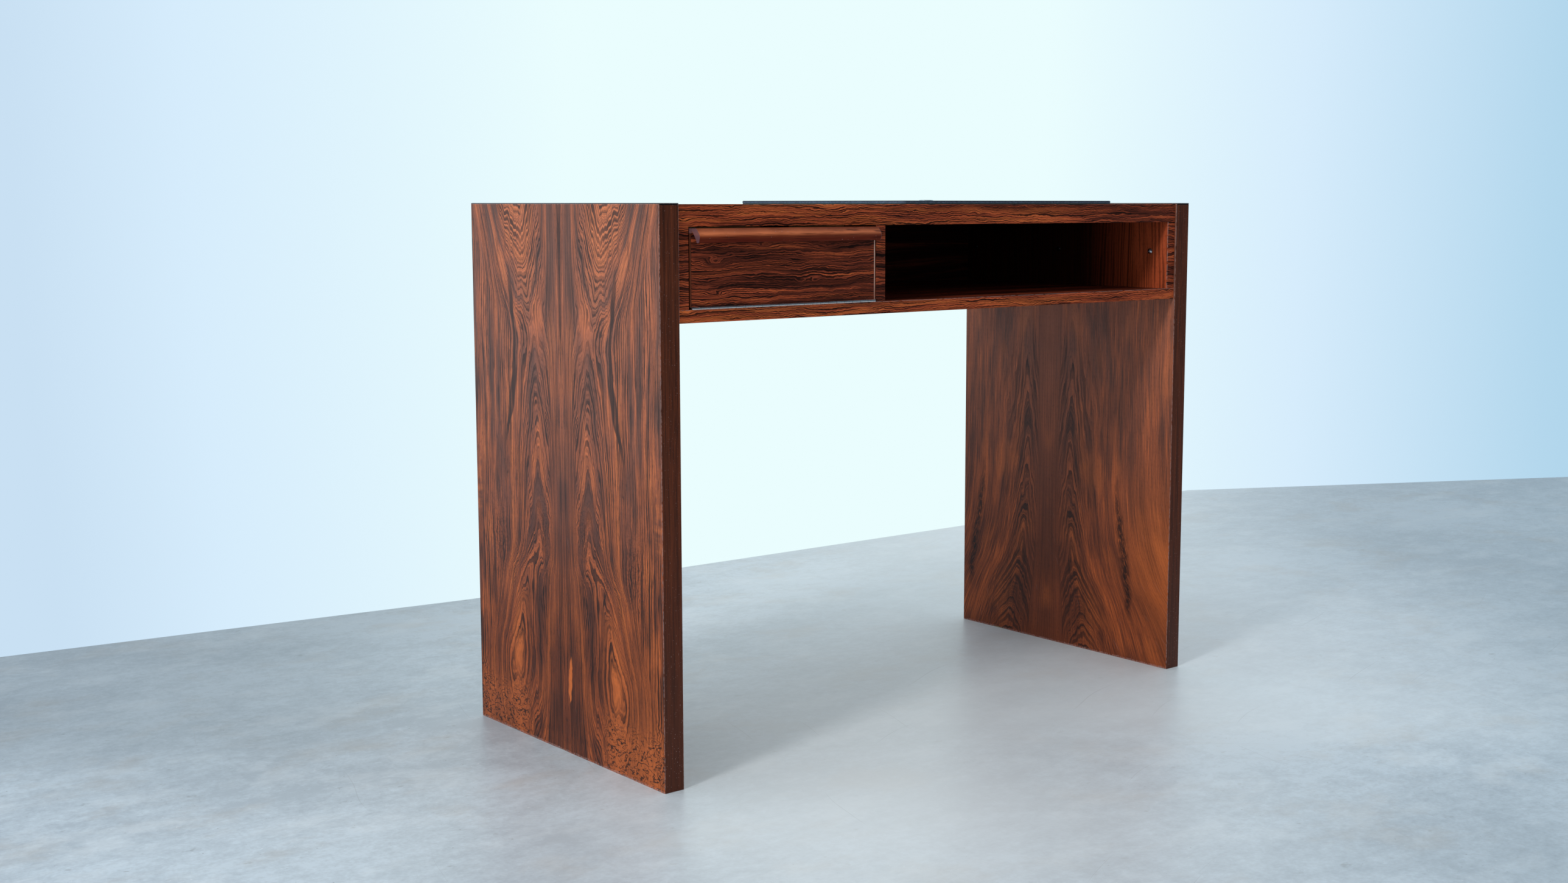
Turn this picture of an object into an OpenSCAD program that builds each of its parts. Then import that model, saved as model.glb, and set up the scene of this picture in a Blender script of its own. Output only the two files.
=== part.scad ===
// Jewellers desk. Two standing side panels carry a shallow case with a drop flap on the left,
// an open compartment on the right and a loose leather pad on its top.
// The desk stands on z = 0 with its front towards -y. The origin is the middle of its footprint,
// the flap's pull included. All lengths are millimetres.

/* [Overall size] */
// Width over the outer faces of the side panels
desk_w = 1000; // [800:1:1400]
// Depth of the side panels
desk_d = 465; // [400:1:600]
// Height of the side panels
desk_h = 740; // [680:1:800]

/* [Side panels] */
// Thickness of a side panel with its veneers
panel_t = 29; // [26:0.5:36]
// Thickness of the face veneers of a side panel
veneer_t = 0.8; // [0.6:0.1:1.5]
// Depth of the solid lippings on the front and back edges
lipping_t = 4; // [3:0.5:8]
// Height of the solid lipping on the top edge
top_lipping_t = 2.5; // [2.2:0.1:6]
// Radius of the lippings' arrises
arris_r = 1.8; // [0.5:0.1:2]

/* [Case] */
// Thickness of the case's side boards, divider, bottom board and back board
board_t = 16.4; // [15:0.1:20]
// Thickness of the top board
top_t = 27.5; // [22:0.5:34]
// How far the top board lies below the tops of the side panels
top_sink = 1.5; // [0:0.5:6]
// Clear height inside the case
opening_h = 102.6; // [80:0.1:160]
// Clear width of the compartment behind the flap
flap_opening_w = 308; // [220:1:360]
// How far the case stands back from the panels' front and back edges
case_inset = 3; // [1:0.5:8]
// Thickness of the veneer bands on the case's front edges
band_t = 1; // [0.6:0.1:2]

/* [Flap] */
// Thickness of the flap
flap_t = 16.4; // [14:0.1:20]
// Gap on either side of the flap
flap_gap = 1.9; // [1:0.1:3]
// Least gap under the top board as the flap's back edge swings past it
swing_gap = 0.4; // [0.3:0.1:2]
// Thickness of the solid lippings on the flap's sides
flap_lipping_t = 2; // [1:0.5:6]

/* [Pull] */
// Height of the part of the pull that caps the flap
pull_base_h = 6; // [4:0.5:10]
// How far the nose of the pull stands out of the flap's face
pull_reach = 17.4; // [15:0.1:24]
// Depth of the pull's flat top in front of the flap's face
pull_flat = 9.3; // [5:0.1:12]
// Height from the pull's top down to its nose
pull_nose_drop = 9; // [6:0.5:12]
// Height of the pull
pull_h = 18; // [15:0.5:24]
// How far the lower end of the pull stands back from the nose
pull_lip_back = 2.7; // [0:0.1:4]
// Thickness of the pull at its lower end
pull_lip_t = 4; // [3:0.5:6]
// Height of the pull where the finger hollow meets the flap's face
pull_root_h = 3; // [2:0.5:5]
// Radius of the finger hollow behind the pull
pull_hollow_r = 40; // [30:1:60]
// How far the pull stops short of each side of the flap
pull_end_gap = 3; // [0:0.5:10]

/* [Piano hinge] */
// Radius of the hinge pin
pin_r = 0.75; // [0.6:0.05:1]
// Outer radius of the knuckles
knuckle_r = 1.5; // [1.4:0.1:2]
// Number of knuckles, half of them on each leaf
knuckle_count = 22; // [12:2:30]
// Gap between neighbouring knuckles
knuckle_gap = 0.4; // [0.3:0.1:1]
// Thickness of a leaf
leaf_t = 0.8; // [0.6:0.1:1]
// Width of a leaf behind the knuckles
leaf_w = 12; // [10:0.5:14]
// How far the hinge stops short of each side of the flap
hinge_end_gap = 1; // [0.5:0.5:5]
// Number of screws in a leaf
leaf_screw_count = 7; // [3:1:9]

/* [Stop rails and catch] */
// Height and depth of the stop rails' square section
rail_s = 12; // [10:1:16]
// How far the right rail stops short of the divider
rail_short = 43; // [10:1:60]
// Width of the magnetic catch
catch_w = 45; // [42:1:60]
// Depth of the magnetic catch
catch_d = 14; // [13:1:20]
// Height of the magnetic catch
catch_h = 13; // [12:1:16]
// How far the catch sits left of the flap's middle
catch_off = 6; // [0:1:20]
// Width of the strike plate
strike_w = 36; // [32:1:42]
// Height of the strike plate
strike_h = 8.5; // [8:0.5:10]
// Thickness of the strike plate
strike_t = 1; // [0.8:0.1:1.5]
// Air between the strike plate and the catch
catch_air = 0.3; // [0.2:0.1:1]

/* [Fixing bolts] */
// Radius of a bolt's shank
bolt_r = 3; // [2.5:0.5:4]
// Radius of a bolt's head
bolt_head_r = 4.5; // [4:0.5:7]
// Height of a bolt's head
bolt_head_h = 2.6; // [2:0.1:4]
// How far a bolt reaches into the side panel
bolt_reach = 17.6; // [14:0.1:20]
// Length of the insert nut in the side panel
nut_l = 16; // [12:1:20]
// Radius of the insert nut
nut_r = 5; // [4.8:0.1:7]
// Distance from the case's front to the first bolt, and from its back to the last
bolt_inset = 35.5; // [28:0.5:48]
// Height of the bolts below the top board
bolt_drop = 45.5; // [36:0.5:52]

/* [Dowels] */
// Radius of a dowel
dowel_r = 4; // [3:0.5:4.5]
// How deep a dowel sits in the end of a board
dowel_in_end = 18; // [12:1:24]
// How deep a dowel sits in the face of a board
dowel_in_face = 10; // [8:0.5:12]
// Distance of the first and last dowel from the ends of a joint
dowel_inset = 56; // [50:1:90]
// Height of the back board's dowels above the bottom board and below the top board
back_dowel_inset = 22; // [10:1:28]

/* [Leather pad] */
// Width of the pad
pad_w = 432; // [300:1:460]
// Depth of the pad
pad_d = 375; // [250:1:390]
// Radius of the pad's corners
pad_corner_r = 10; // [4:1:30]
// Distance from the right panel's outer face to the pad
pad_from_right = 132; // [60:1:200]
// Distance from the panels' front edges to the pad
pad_from_front = 40; // [5:1:60]
// Thickness of the felt under the pad
felt_t = 1; // [0.9:0.1:2]
// Thickness of the pad's board
pad_board_t = 3; // [2:0.5:5]
// Thickness of the leather
leather_t = 1; // [0.8:0.1:2]
// Radius of the flat metal knob on the pad
knob_r = 11; // [8:0.5:14]
// Height of the knob
knob_h = 1.5; // [1:0.5:8]

/* [Hidden] */
$fn = 64;

// Radial room of a shank, dowel or insert in its hole
fit = 0.05;
// Room past the end of a blind hole
end_room = 0.5;
// Extra length of a cut where it leaves a piece
cut = 1;

// The frame: outer faces, and the faces of the case
left_x = -desk_w / 2;
front_y = (pull_reach - case_inset - desk_d) / 2;
back_y = front_y + desk_d;
case_left_x = left_x + panel_t;
case_right_x = -case_left_x;
case_front_y = front_y + case_inset;
case_back_y = back_y - case_inset;
boards_front_y = case_front_y + band_t;
boards_back_y = case_back_y - board_t;
top_z = desk_h - top_sink;
top_under_z = top_z - top_t;
bottom_top_z = top_under_z - opening_h;
case_under_z = bottom_top_z - board_t;
opening_left_x = case_left_x + board_t;
divider_left_x = opening_left_x + flap_opening_w;

// The side panels' core between their lippings
core_front_y = front_y + lipping_t;
core_back_y = back_y - lipping_t;
core_top_z = desk_h - top_lipping_t;

// The flap: its hinge line lies in front of its face, and its top clears the top board as it swings
hinge_y = case_front_y - knuckle_r;
hinge_z = bottom_top_z + knuckle_r;
flap_left_x = opening_left_x + flap_gap;
flap_right_x = divider_left_x - flap_gap;
flap_back_y = case_front_y + flap_t;
flap_under_z = hinge_z + knuckle_r;
swing_r = top_under_z - hinge_z - swing_gap;
flap_top_z = hinge_z + sqrt(pow(swing_r, 2) - pow(flap_back_y - hinge_y, 2));
pull_base_z = flap_top_z - pull_base_h;
flap_mid_x = (flap_left_x + flap_right_x) / 2;

// The hinge's leaves and screws
leaf_edge_gap = 0.3;
hinge_left_x = flap_left_x + hinge_end_gap;
hinge_l = flap_right_x - hinge_end_gap - hinge_left_x;
knuckle_pitch = hinge_l / knuckle_count;
leaf_screw_r = 1.1;
leaf_screw_head_r = 2.2;
leaf_screw_head_h = 1.1;
leaf_screw_l = 12;
leaf_screw_end = 14;
leaf_screw_y = hinge_y + knuckle_r + (leaf_edge_gap + leaf_w) / 2;
leaf_screw_pitch = (hinge_l - 2 * leaf_screw_end) / (leaf_screw_count - 1);

// The catch and its strike plate
catch_x = flap_mid_x - catch_off;
catch_front_y = flap_back_y + strike_t + catch_air;
catch_under_z = top_under_z - catch_h;
magnet_w = 28;
magnet_d = 10;
magnet_h = 5;
magnet_sink = 0.5;
pole_t = 1;
catch_floor_t = 3;
magnet_z = catch_under_z + catch_floor_t + pole_t;
catch_screw_x = 18;
strike_drop = 2;
strike_z = flap_top_z - strike_drop - strike_h;
strike_screw_x = 13;
strike_screw_edge = 2.3;
strike_screw_z = strike_z + strike_screw_edge;
small_screw_r = 1.3;
small_screw_head_r = 2.6;
small_screw_head_h = 1.3;
catch_screw_grip = 10;
catch_screw_l = catch_h + catch_screw_grip;
strike_screw_head_r = 1.7;
strike_screw_head_h = 0.8;
strike_screw_l = 10;

// The stop rails behind the top of the flap
rail_catch_gap = 0.5;
rail_under_z = top_under_z - rail_s;
left_rail_x = [opening_left_x, catch_x - catch_w / 2 - rail_catch_gap];
right_rail_x = [catch_x + catch_w / 2 + rail_catch_gap, divider_left_x - rail_short];
rail_screw_end = 22;
rail_screw_xs = [
  left_rail_x[0] + rail_screw_end,
  left_rail_x[1] - rail_screw_end,
  right_rail_x[0] + rail_screw_end,
  right_rail_x[1] - rail_screw_end
];
rail_screw_y = flap_back_y + rail_s / 2;
rail_screw_grip = 14;
rail_screw_l = rail_s + rail_screw_grip;

// Bolts and dowels
bolt_ys = [case_front_y + bolt_inset, (case_front_y + case_back_y) / 2, case_back_y - bolt_inset];
bolt_z = top_under_z - bolt_drop;
bolt_slot_w = 1.2;
bolt_slot_d = 1.2;
bolt_slot_turn = 40;
dowel_l = dowel_in_end + dowel_in_face;
dowel_ys = [boards_front_y + dowel_inset, (boards_front_y + boards_back_y) / 2, boards_back_y - dowel_inset];
upright_xs = [case_left_x + board_t / 2, divider_left_x + board_t / 2, case_right_x - board_t / 2];
back_mid_y = case_back_y - board_t / 2;
back_dowel_zs = [bottom_top_z + back_dowel_inset, top_under_z - back_dowel_inset];
bottom_mid_z = case_under_z + board_t / 2;
rear_dowel_count = 4;
rear_dowel_end = 90;
rear_dowel_pitch = (case_right_x - case_left_x - 2 * rear_dowel_end) / (rear_dowel_count - 1);
rear_dowel_xs = [for (i = [0:rear_dowel_count - 1]) case_left_x + rear_dowel_end + i * rear_dowel_pitch];
pull_dowel_r = 3;
pull_dowel_l = 18;
pull_dowel_cover = 1.5;
pull_dowel_count = 4;
pull_dowel_end = 30;
pull_dowel_pitch = (flap_right_x - flap_left_x - 2 * pull_dowel_end) / (pull_dowel_count - 1);

// The pad
pad_x = -left_x - pad_from_right - pad_w / 2;
pad_y = front_y + pad_from_front + pad_d / 2;
pad_top_z = top_z + felt_t + pad_board_t + leather_t;
knob_stem_r = 2;
washer_r = 6;
washer_t = 0.8;
washer_room = 1;

// Colours
veneer_colour = [0.52, 0.24, 0.12];
solid_colour = [0.27, 0.13, 0.09];
pull_colour = [0.42, 0.19, 0.11];
core_colour = [0.68, 0.55, 0.38];
pale_wood = [0.78, 0.66, 0.48];
nickel = [0.78, 0.79, 0.8];
steel = [0.55, 0.56, 0.58];
dark_plastic = [0.13, 0.1, 0.09];
black_leather = [0.09, 0.1, 0.12];
felt_green = [0.12, 0.22, 0.16];

// Where a length starts and ends, given by its middle or by its start
function centred(middle, length) = [middle - length / 2, middle + length / 2];
function onwards(start, length) = [start, start + length];

// A box given by where it starts and ends along each axis
module block(x, y, z) {
  translate([x[0], y[0], z[0]])
    cube([x[1] - x[0], y[1] - y[0], z[1] - z[0]]);
}

// Draws its children on the left, or mirrored on the right
module on_side(side) {
  if (side == "left") {
    children();
  } else {
    mirror([1, 0, 0]) children();
  }
}

// Section of a lipping: its glued side lies on y = 0 and its two outer arrises are rounded
module lipping_section(w, t) {
  translate([-w / 2, arris_r - t])
    square([w, t - arris_r]);
  translate([arris_r - w / 2, -t])
    square([w - 2 * arris_r, t]);
  for (s = [-1, 1]) intersection() {
    translate([s * (w / 2 - arris_r), arris_r - t])
      circle(arris_r);
    translate([-w / 2, -t])
      square([w, arris_r]);
  }
}

// A countersunk screw: the head's face lies on z = 0 and the shank points up
module countersunk_screw(shank_r, head_r, head_h, length) {
  cylinder(h = head_h, r1 = head_r, r2 = shank_r);
  cylinder(h = length, r = shank_r);
}

// The hole for that screw, open past the head's face
module screw_hole(shank_r, head_r, head_h, length) {
  translate([0, 0, -cut])
    cylinder(h = cut, r = head_r + fit);
  countersunk_screw(shank_r + fit, head_r + fit, head_h, length + end_room);
}

// Side panels

module insert_holes() {
  for (y = bolt_ys)
    translate([case_left_x + cut, y, bolt_z])
      rotate([0, -90, 0])
        cylinder(h = max(bolt_reach, nut_l) + end_room + cut, r = nut_r + fit);
}

module panel_core(side) {
  on_side(side) color(core_colour) difference() {
    block([left_x + veneer_t, case_left_x - veneer_t], [core_front_y, core_back_y], [0, core_top_z]);
    insert_holes();
  }
}

module outer_veneer(side) {
  on_side(side) color(veneer_colour)
    block([left_x, left_x + veneer_t], [core_front_y, core_back_y], [0, core_top_z]);
}

module inner_veneer(side) {
  on_side(side) color(veneer_colour) difference() {
    block([case_left_x - veneer_t, case_left_x], [core_front_y, core_back_y], [0, core_top_z]);
    insert_holes();
  }
}

module front_lipping(side) {
  on_side(side) color(solid_colour)
    translate([left_x + panel_t / 2, core_front_y, 0])
      linear_extrude(core_top_z) lipping_section(panel_t, lipping_t);
}

module back_lipping(side) {
  on_side(side) color(solid_colour)
    translate([left_x + panel_t / 2, core_back_y, 0])
      linear_extrude(core_top_z) mirror([0, 1]) lipping_section(panel_t, lipping_t);
}

module top_lipping(side) {
  on_side(side) color(solid_colour)
    translate([left_x + panel_t / 2, back_y, core_top_z])
      rotate([90, 0, 0])
        linear_extrude(desk_d) mirror([0, 1]) lipping_section(panel_t, top_lipping_t);
}

// Dowels of the case. With grow = 0 they are the dowels, and with grow > 0 their holes

module case_dowel_set(grow, room) {
  for (x = upright_xs, y = dowel_ys) {
    translate([x, y, bottom_top_z - dowel_in_face - room])
      cylinder(h = dowel_l + 2 * room, r = dowel_r + grow);
    translate([x, y, top_under_z - dowel_in_end - room])
      cylinder(h = dowel_l + 2 * room, r = dowel_r + grow);
  }
}

module back_dowel_set(grow, room) {
  for (x = upright_xs, z = back_dowel_zs)
    translate([x, boards_back_y - dowel_in_end - room, z])
      rotate([-90, 0, 0])
        cylinder(h = dowel_l + 2 * room, r = dowel_r + grow);
  for (x = rear_dowel_xs) {
    translate([x, boards_back_y - dowel_in_end - room, bottom_mid_z])
      rotate([-90, 0, 0])
        cylinder(h = dowel_l + 2 * room, r = dowel_r + grow);
    translate([x, back_mid_y, top_under_z - dowel_in_end - room])
      cylinder(h = dowel_l + 2 * room, r = dowel_r + grow);
  }
}

module case_dowels() {
  color(pale_wood) case_dowel_set(0, 0);
}

module back_dowels() {
  color(pale_wood) back_dowel_set(0, 0);
}

module dowel_holes() {
  case_dowel_set(fit, end_room);
  back_dowel_set(fit, end_room);
}

// The case's boards

module top_board() {
  color(veneer_colour) difference() {
    block([case_left_x, case_right_x], [boards_front_y, case_back_y], [top_under_z, top_z]);
    dowel_holes();
    rail_screw_set() screw_hole(small_screw_r, small_screw_head_r, small_screw_head_h, rail_screw_l);
    catch_screw_set() screw_hole(small_screw_r, small_screw_head_r, small_screw_head_h, catch_screw_l);
  }
}

module top_edge_band() {
  color(veneer_colour)
    block([case_left_x, case_right_x], [case_front_y, boards_front_y], [top_under_z, top_z]);
}

module bottom_board() {
  color(veneer_colour) difference() {
    block([case_left_x, case_right_x], [boards_front_y, boards_back_y], [case_under_z, bottom_top_z]);
    dowel_holes();
    case_leaf_screw_set() screw_hole(leaf_screw_r, leaf_screw_head_r, leaf_screw_head_h, leaf_screw_l);
  }
}

module bottom_edge_band() {
  color(veneer_colour)
    block([case_left_x, case_right_x], [case_front_y, boards_front_y], [case_under_z, bottom_top_z]);
}

// An upright board whose left face is at x, without its band
module upright(x) {
  block(onwards(x, board_t), [boards_front_y, boards_back_y], [bottom_top_z, top_under_z]);
}

module upright_band(x) {
  color(veneer_colour)
    block(onwards(x, board_t), [case_front_y, boards_front_y], [bottom_top_z, top_under_z]);
}

module bolt_holes() {
  for (y = bolt_ys)
    translate([case_left_x - cut, y, bolt_z])
      rotate([0, 90, 0])
        cylinder(h = board_t + 2 * cut, r = bolt_r + fit);
}

module case_side(side) {
  on_side(side) color(veneer_colour) difference() {
    upright(case_left_x);
    bolt_holes();
    dowel_holes();
  }
}

module side_band(side) {
  on_side(side) upright_band(case_left_x);
}

module divider() {
  color(veneer_colour) difference() {
    upright(divider_left_x);
    dowel_holes();
  }
}

module divider_band() {
  upright_band(divider_left_x);
}

module back_board() {
  color(veneer_colour) difference() {
    block([case_left_x, case_right_x], [boards_back_y, case_back_y], [case_under_z, top_under_z]);
    dowel_holes();
  }
}

// Bolts that hold the case to the side panels. Their heads show inside the compartments

module fixing_bolt() {
  dome_r = (pow(bolt_head_r, 2) + pow(bolt_head_h, 2)) / (2 * bolt_head_h);
  translate([0, 0, -board_t - bolt_reach])
    cylinder(h = board_t + bolt_reach, r = bolt_r);
  difference() {
    rotate_extrude() intersection() {
      translate([0, bolt_head_h - dome_r]) circle(dome_r);
      square([bolt_head_r, bolt_head_h]);
    }
    rotate([0, 0, bolt_slot_turn])
      translate([-bolt_head_r, -bolt_slot_w / 2, bolt_head_h - bolt_slot_d])
        cube([2 * bolt_head_r, bolt_slot_w, bolt_slot_d + cut]);
  }
}

module fixing_bolts(side) {
  on_side(side) color(nickel)
    for (y = bolt_ys)
      translate([opening_left_x, y, bolt_z])
        rotate([0, 90, 0]) fixing_bolt();
}

module insert_nuts(side) {
  on_side(side) color(steel)
    for (y = bolt_ys)
      translate([case_left_x, y, bolt_z])
        rotate([0, -90, 0]) difference() {
          cylinder(h = nut_l, r = nut_r);
          translate([0, 0, -cut])
            cylinder(h = nut_l + 2 * cut, r = bolt_r + fit);
        }
}

// Stop rails and catch under the top board

module rail_screw_set() {
  for (x = rail_screw_xs)
    translate([x, rail_screw_y, rail_under_z]) children();
}

module stop_rail(x) {
  color(pale_wood) difference() {
    block(x, [flap_back_y, flap_back_y + rail_s], [rail_under_z, top_under_z]);
    rail_screw_set() screw_hole(small_screw_r, small_screw_head_r, small_screw_head_h, rail_screw_l);
  }
}

module stop_rail_screws() {
  color(steel)
    rail_screw_set() countersunk_screw(small_screw_r, small_screw_head_r, small_screw_head_h, rail_screw_l);
}

module catch_screw_set() {
  for (s = [-1, 1])
    translate([catch_x + s * catch_screw_x, catch_front_y + catch_d / 2, catch_under_z]) children();
}

module catch_body() {
  color(dark_plastic) difference() {
    block(centred(catch_x, catch_w), onwards(catch_front_y, catch_d), [catch_under_z, top_under_z]);
    block(
      centred(catch_x, magnet_w),
      [catch_front_y - cut, catch_front_y + magnet_d],
      onwards(magnet_z - pole_t, magnet_h + 2 * pole_t)
    );
    catch_screw_set() screw_hole(small_screw_r, small_screw_head_r, small_screw_head_h, catch_screw_l);
  }
}

module catch_magnet() {
  color(dark_plastic)
    block(
      centred(catch_x, magnet_w),
      [catch_front_y + magnet_sink, catch_front_y + magnet_d],
      onwards(magnet_z, magnet_h)
    );
}

module catch_pole_plates() {
  color(steel)
    for (z = [magnet_z - pole_t, magnet_z + magnet_h])
      block(centred(catch_x, magnet_w), onwards(catch_front_y, magnet_d), onwards(z, pole_t));
}

module catch_screws() {
  color(steel)
    catch_screw_set() countersunk_screw(small_screw_r, small_screw_head_r, small_screw_head_h, catch_screw_l);
}

// Piano hinge. The case leaf lies on the bottom board and the flap leaf under the flap

// Half of the knuckles with the tabs that join them to their leaf. The tabs lie under the barrel
module knuckle_row(first) {
  for (i = [first:2:knuckle_count - 1])
    translate([hinge_left_x + i * knuckle_pitch + knuckle_gap / 2, 0, 0]) {
      rotate([0, 90, 0])
        cylinder(h = knuckle_pitch - knuckle_gap, r = knuckle_r);
      translate([0, 0, -knuckle_r])
        cube([knuckle_pitch - knuckle_gap, knuckle_r + leaf_edge_gap, leaf_t]);
    }
}

// A leaf with its barrel line on y = 0, z = 0 and its plate below it
module hinge_leaf(first) {
  difference() {
    union() {
      knuckle_row(first);
      block(
        onwards(hinge_left_x, hinge_l),
        [knuckle_r + leaf_edge_gap, knuckle_r + leaf_w],
        onwards(-knuckle_r, leaf_t)
      );
    }
    translate([hinge_left_x - cut, 0, 0])
      rotate([0, 90, 0])
        cylinder(h = hinge_l + 2 * cut, r = pin_r + fit);
  }
}

module leaf_screw_row(z) {
  for (i = [0:leaf_screw_count - 1])
    translate([hinge_left_x + leaf_screw_end + i * leaf_screw_pitch, leaf_screw_y, z]) children();
}

module case_leaf_screw_set() {
  leaf_screw_row(bottom_top_z + leaf_t) rotate([180, 0, 0]) children();
}

module flap_leaf_screw_set() {
  leaf_screw_row(flap_under_z - leaf_t) children();
}

module hinge_case_leaf() {
  color(nickel) difference() {
    translate([0, hinge_y, hinge_z]) hinge_leaf(0);
    case_leaf_screw_set() screw_hole(leaf_screw_r, leaf_screw_head_r, leaf_screw_head_h, leaf_screw_l);
  }
}

module hinge_flap_leaf() {
  color(nickel) difference() {
    translate([0, hinge_y, hinge_z]) mirror([0, 0, 1]) hinge_leaf(1);
    flap_leaf_screw_set() screw_hole(leaf_screw_r, leaf_screw_head_r, leaf_screw_head_h, leaf_screw_l);
  }
}

module hinge_pin() {
  color(nickel)
    translate([hinge_left_x, hinge_y, hinge_z])
      rotate([0, 90, 0]) cylinder(h = hinge_l, r = pin_r);
}

module hinge_case_screws() {
  color(nickel)
    case_leaf_screw_set() countersunk_screw(leaf_screw_r, leaf_screw_head_r, leaf_screw_head_h, leaf_screw_l);
}

module hinge_flap_screws() {
  color(nickel)
    flap_leaf_screw_set() countersunk_screw(leaf_screw_r, leaf_screw_head_r, leaf_screw_head_h, leaf_screw_l);
}

// Flap

module pull_dowel_set(grow, room) {
  for (i = [0:pull_dowel_count - 1])
    translate([
      flap_left_x + pull_dowel_end + i * pull_dowel_pitch,
      case_front_y + flap_t / 2,
      flap_top_z - pull_dowel_cover - pull_dowel_l - room
    ])
      cylinder(h = pull_dowel_l + room, r = pull_dowel_r + grow);
}

module pull_dowels() {
  color(pale_wood) pull_dowel_set(0, 0);
}

module strike_screw_set() {
  for (s = [-1, 1])
    translate([catch_x + s * strike_screw_x, flap_back_y + strike_t, strike_screw_z])
      rotate([90, 0, 0]) children();
}

module strike_screw_holes() {
  strike_screw_set()
    screw_hole(small_screw_r, strike_screw_head_r, strike_screw_head_h, strike_screw_l);
}

module flap_panel() {
  color(veneer_colour) difference() {
    block(
      [flap_left_x + flap_lipping_t, flap_right_x - flap_lipping_t],
      [case_front_y, flap_back_y],
      [flap_under_z, pull_base_z]
    );
    pull_dowel_set(fit, end_room);
    flap_leaf_screw_set() screw_hole(leaf_screw_r, leaf_screw_head_r, leaf_screw_head_h, leaf_screw_l);
    strike_screw_holes();
  }
}

module flap_lipping(x) {
  color(solid_colour)
    block([x, x + flap_lipping_t], [case_front_y, flap_back_y], [flap_under_z, pull_base_z]);
}

// Section of the pull's hook: x runs out of the flap's face and y up from the pull's top
module hook_section() {
  lip_x = pull_reach - pull_lip_back;
  hollow_x = pull_reach - pull_lip_back - pull_lip_t;
  chord = norm([hollow_x, pull_h - pull_root_h]);
  bow = sqrt(pow(pull_hollow_r, 2) - pow(chord / 2, 2));
  across = [(pull_h - pull_root_h) / chord, hollow_x / chord];
  difference() {
    polygon([
      [0, 0],
      [pull_flat, 0],
      [pull_reach, -pull_nose_drop],
      [lip_x, -pull_h],
      [0, -pull_h]
    ]);
    translate([hollow_x / 2 - bow * across[0], -(pull_root_h + pull_h) / 2 - bow * across[1]])
      circle(pull_hollow_r, $fn = 180);
  }
}

module flap_pull() {
  color(pull_colour) difference() {
    union() {
      block([flap_left_x, flap_right_x], [case_front_y, flap_back_y], [pull_base_z, flap_top_z]);
      translate([flap_left_x + pull_end_gap, case_front_y, flap_top_z])
        rotate([90, 0, 90])
          linear_extrude(flap_right_x - flap_left_x - 2 * pull_end_gap)
            mirror([1, 0]) hook_section();
    }
    pull_dowel_set(fit, end_room);
    strike_screw_holes();
  }
}

module strike_plate() {
  color(steel) difference() {
    block(centred(catch_x, strike_w), onwards(flap_back_y, strike_t), onwards(strike_z, strike_h));
    strike_screw_holes();
  }
}

module strike_screws() {
  color(steel)
    strike_screw_set()
      countersunk_screw(small_screw_r, strike_screw_head_r, strike_screw_head_h, strike_screw_l);
}

// Leather pad

// A rounded rectangle in the middle of the pad's outline, smaller by inset all round
module pad_outline(inset) {
  r = pad_corner_r - inset;
  w = pad_w - 2 * inset;
  d = pad_d - 2 * inset;
  square([w - 2 * r, d], center = true);
  square([w, d - 2 * r], center = true);
  for (sx = [-1, 1], sy = [-1, 1])
    translate([sx * (w / 2 - r), sy * (d / 2 - r)]) circle(r);
}

module on_pad(z) {
  translate([pad_x, pad_y, top_z + z]) children();
}

module stem_hole(h) {
  translate([0, 0, -cut])
    cylinder(h = h + 2 * cut, r = knob_stem_r + fit);
}

module pad_felt() {
  color(felt_green) on_pad(0) difference() {
    linear_extrude(felt_t) pad_outline(0);
    translate([0, 0, -cut])
      cylinder(h = felt_t + 2 * cut, r = washer_r + washer_room);
  }
}

module pad_board() {
  color(pale_wood) on_pad(felt_t) difference() {
    linear_extrude(pad_board_t) pad_outline(leather_t);
    stem_hole(pad_board_t);
  }
}

module pad_leather() {
  color(black_leather) on_pad(felt_t) difference() {
    linear_extrude(pad_board_t + leather_t) pad_outline(0);
    translate([0, 0, -cut])
      linear_extrude(pad_board_t + cut) pad_outline(leather_t);
    stem_hole(pad_board_t + leather_t);
  }
}

module pad_washer() {
  color(steel) on_pad(felt_t - washer_t) difference() {
    cylinder(h = washer_t, r = washer_r);
    stem_hole(washer_t);
  }
}

module pad_knob() {
  dome_r = (pow(knob_r, 2) + pow(knob_h, 2)) / (2 * knob_h);
  color(nickel) translate([pad_x, pad_y, pad_top_z]) {
    rotate_extrude() intersection() {
      translate([0, knob_h - dome_r]) circle(dome_r, $fn = 360);
      square([knob_r, knob_h]);
    }
    translate([0, 0, -leather_t - pad_board_t - washer_t])
      cylinder(h = leather_t + pad_board_t + washer_t, r = knob_stem_r);
  }
}

panel_core("left");  // left_core
outer_veneer("left");  // left_outer_veneer
inner_veneer("left");  // left_inner_veneer
front_lipping("left");  // left_front_lipping
back_lipping("left");  // left_back_lipping
top_lipping("left");  // left_top_lipping
panel_core("right");  // right_core
outer_veneer("right");  // right_outer_veneer
inner_veneer("right");  // right_inner_veneer
front_lipping("right");  // right_front_lipping
back_lipping("right");  // right_back_lipping
top_lipping("right");  // right_top_lipping
top_board();
top_edge_band();
bottom_board();
bottom_edge_band();
case_side("left");  // left_case_side
side_band("left");  // left_side_band
divider();
divider_band();
case_side("right");  // right_case_side
side_band("right");  // right_side_band
back_board();
case_dowels();
back_dowels();
fixing_bolts("left");  // left_fixing_bolts
insert_nuts("left");  // left_insert_nuts
fixing_bolts("right");  // right_fixing_bolts
insert_nuts("right");  // right_insert_nuts
stop_rail(left_rail_x);  // left_stop_rail
stop_rail(right_rail_x);  // right_stop_rail
stop_rail_screws();
catch_body();
catch_magnet();
catch_pole_plates();
catch_screws();
hinge_case_leaf();
hinge_flap_leaf();
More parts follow.
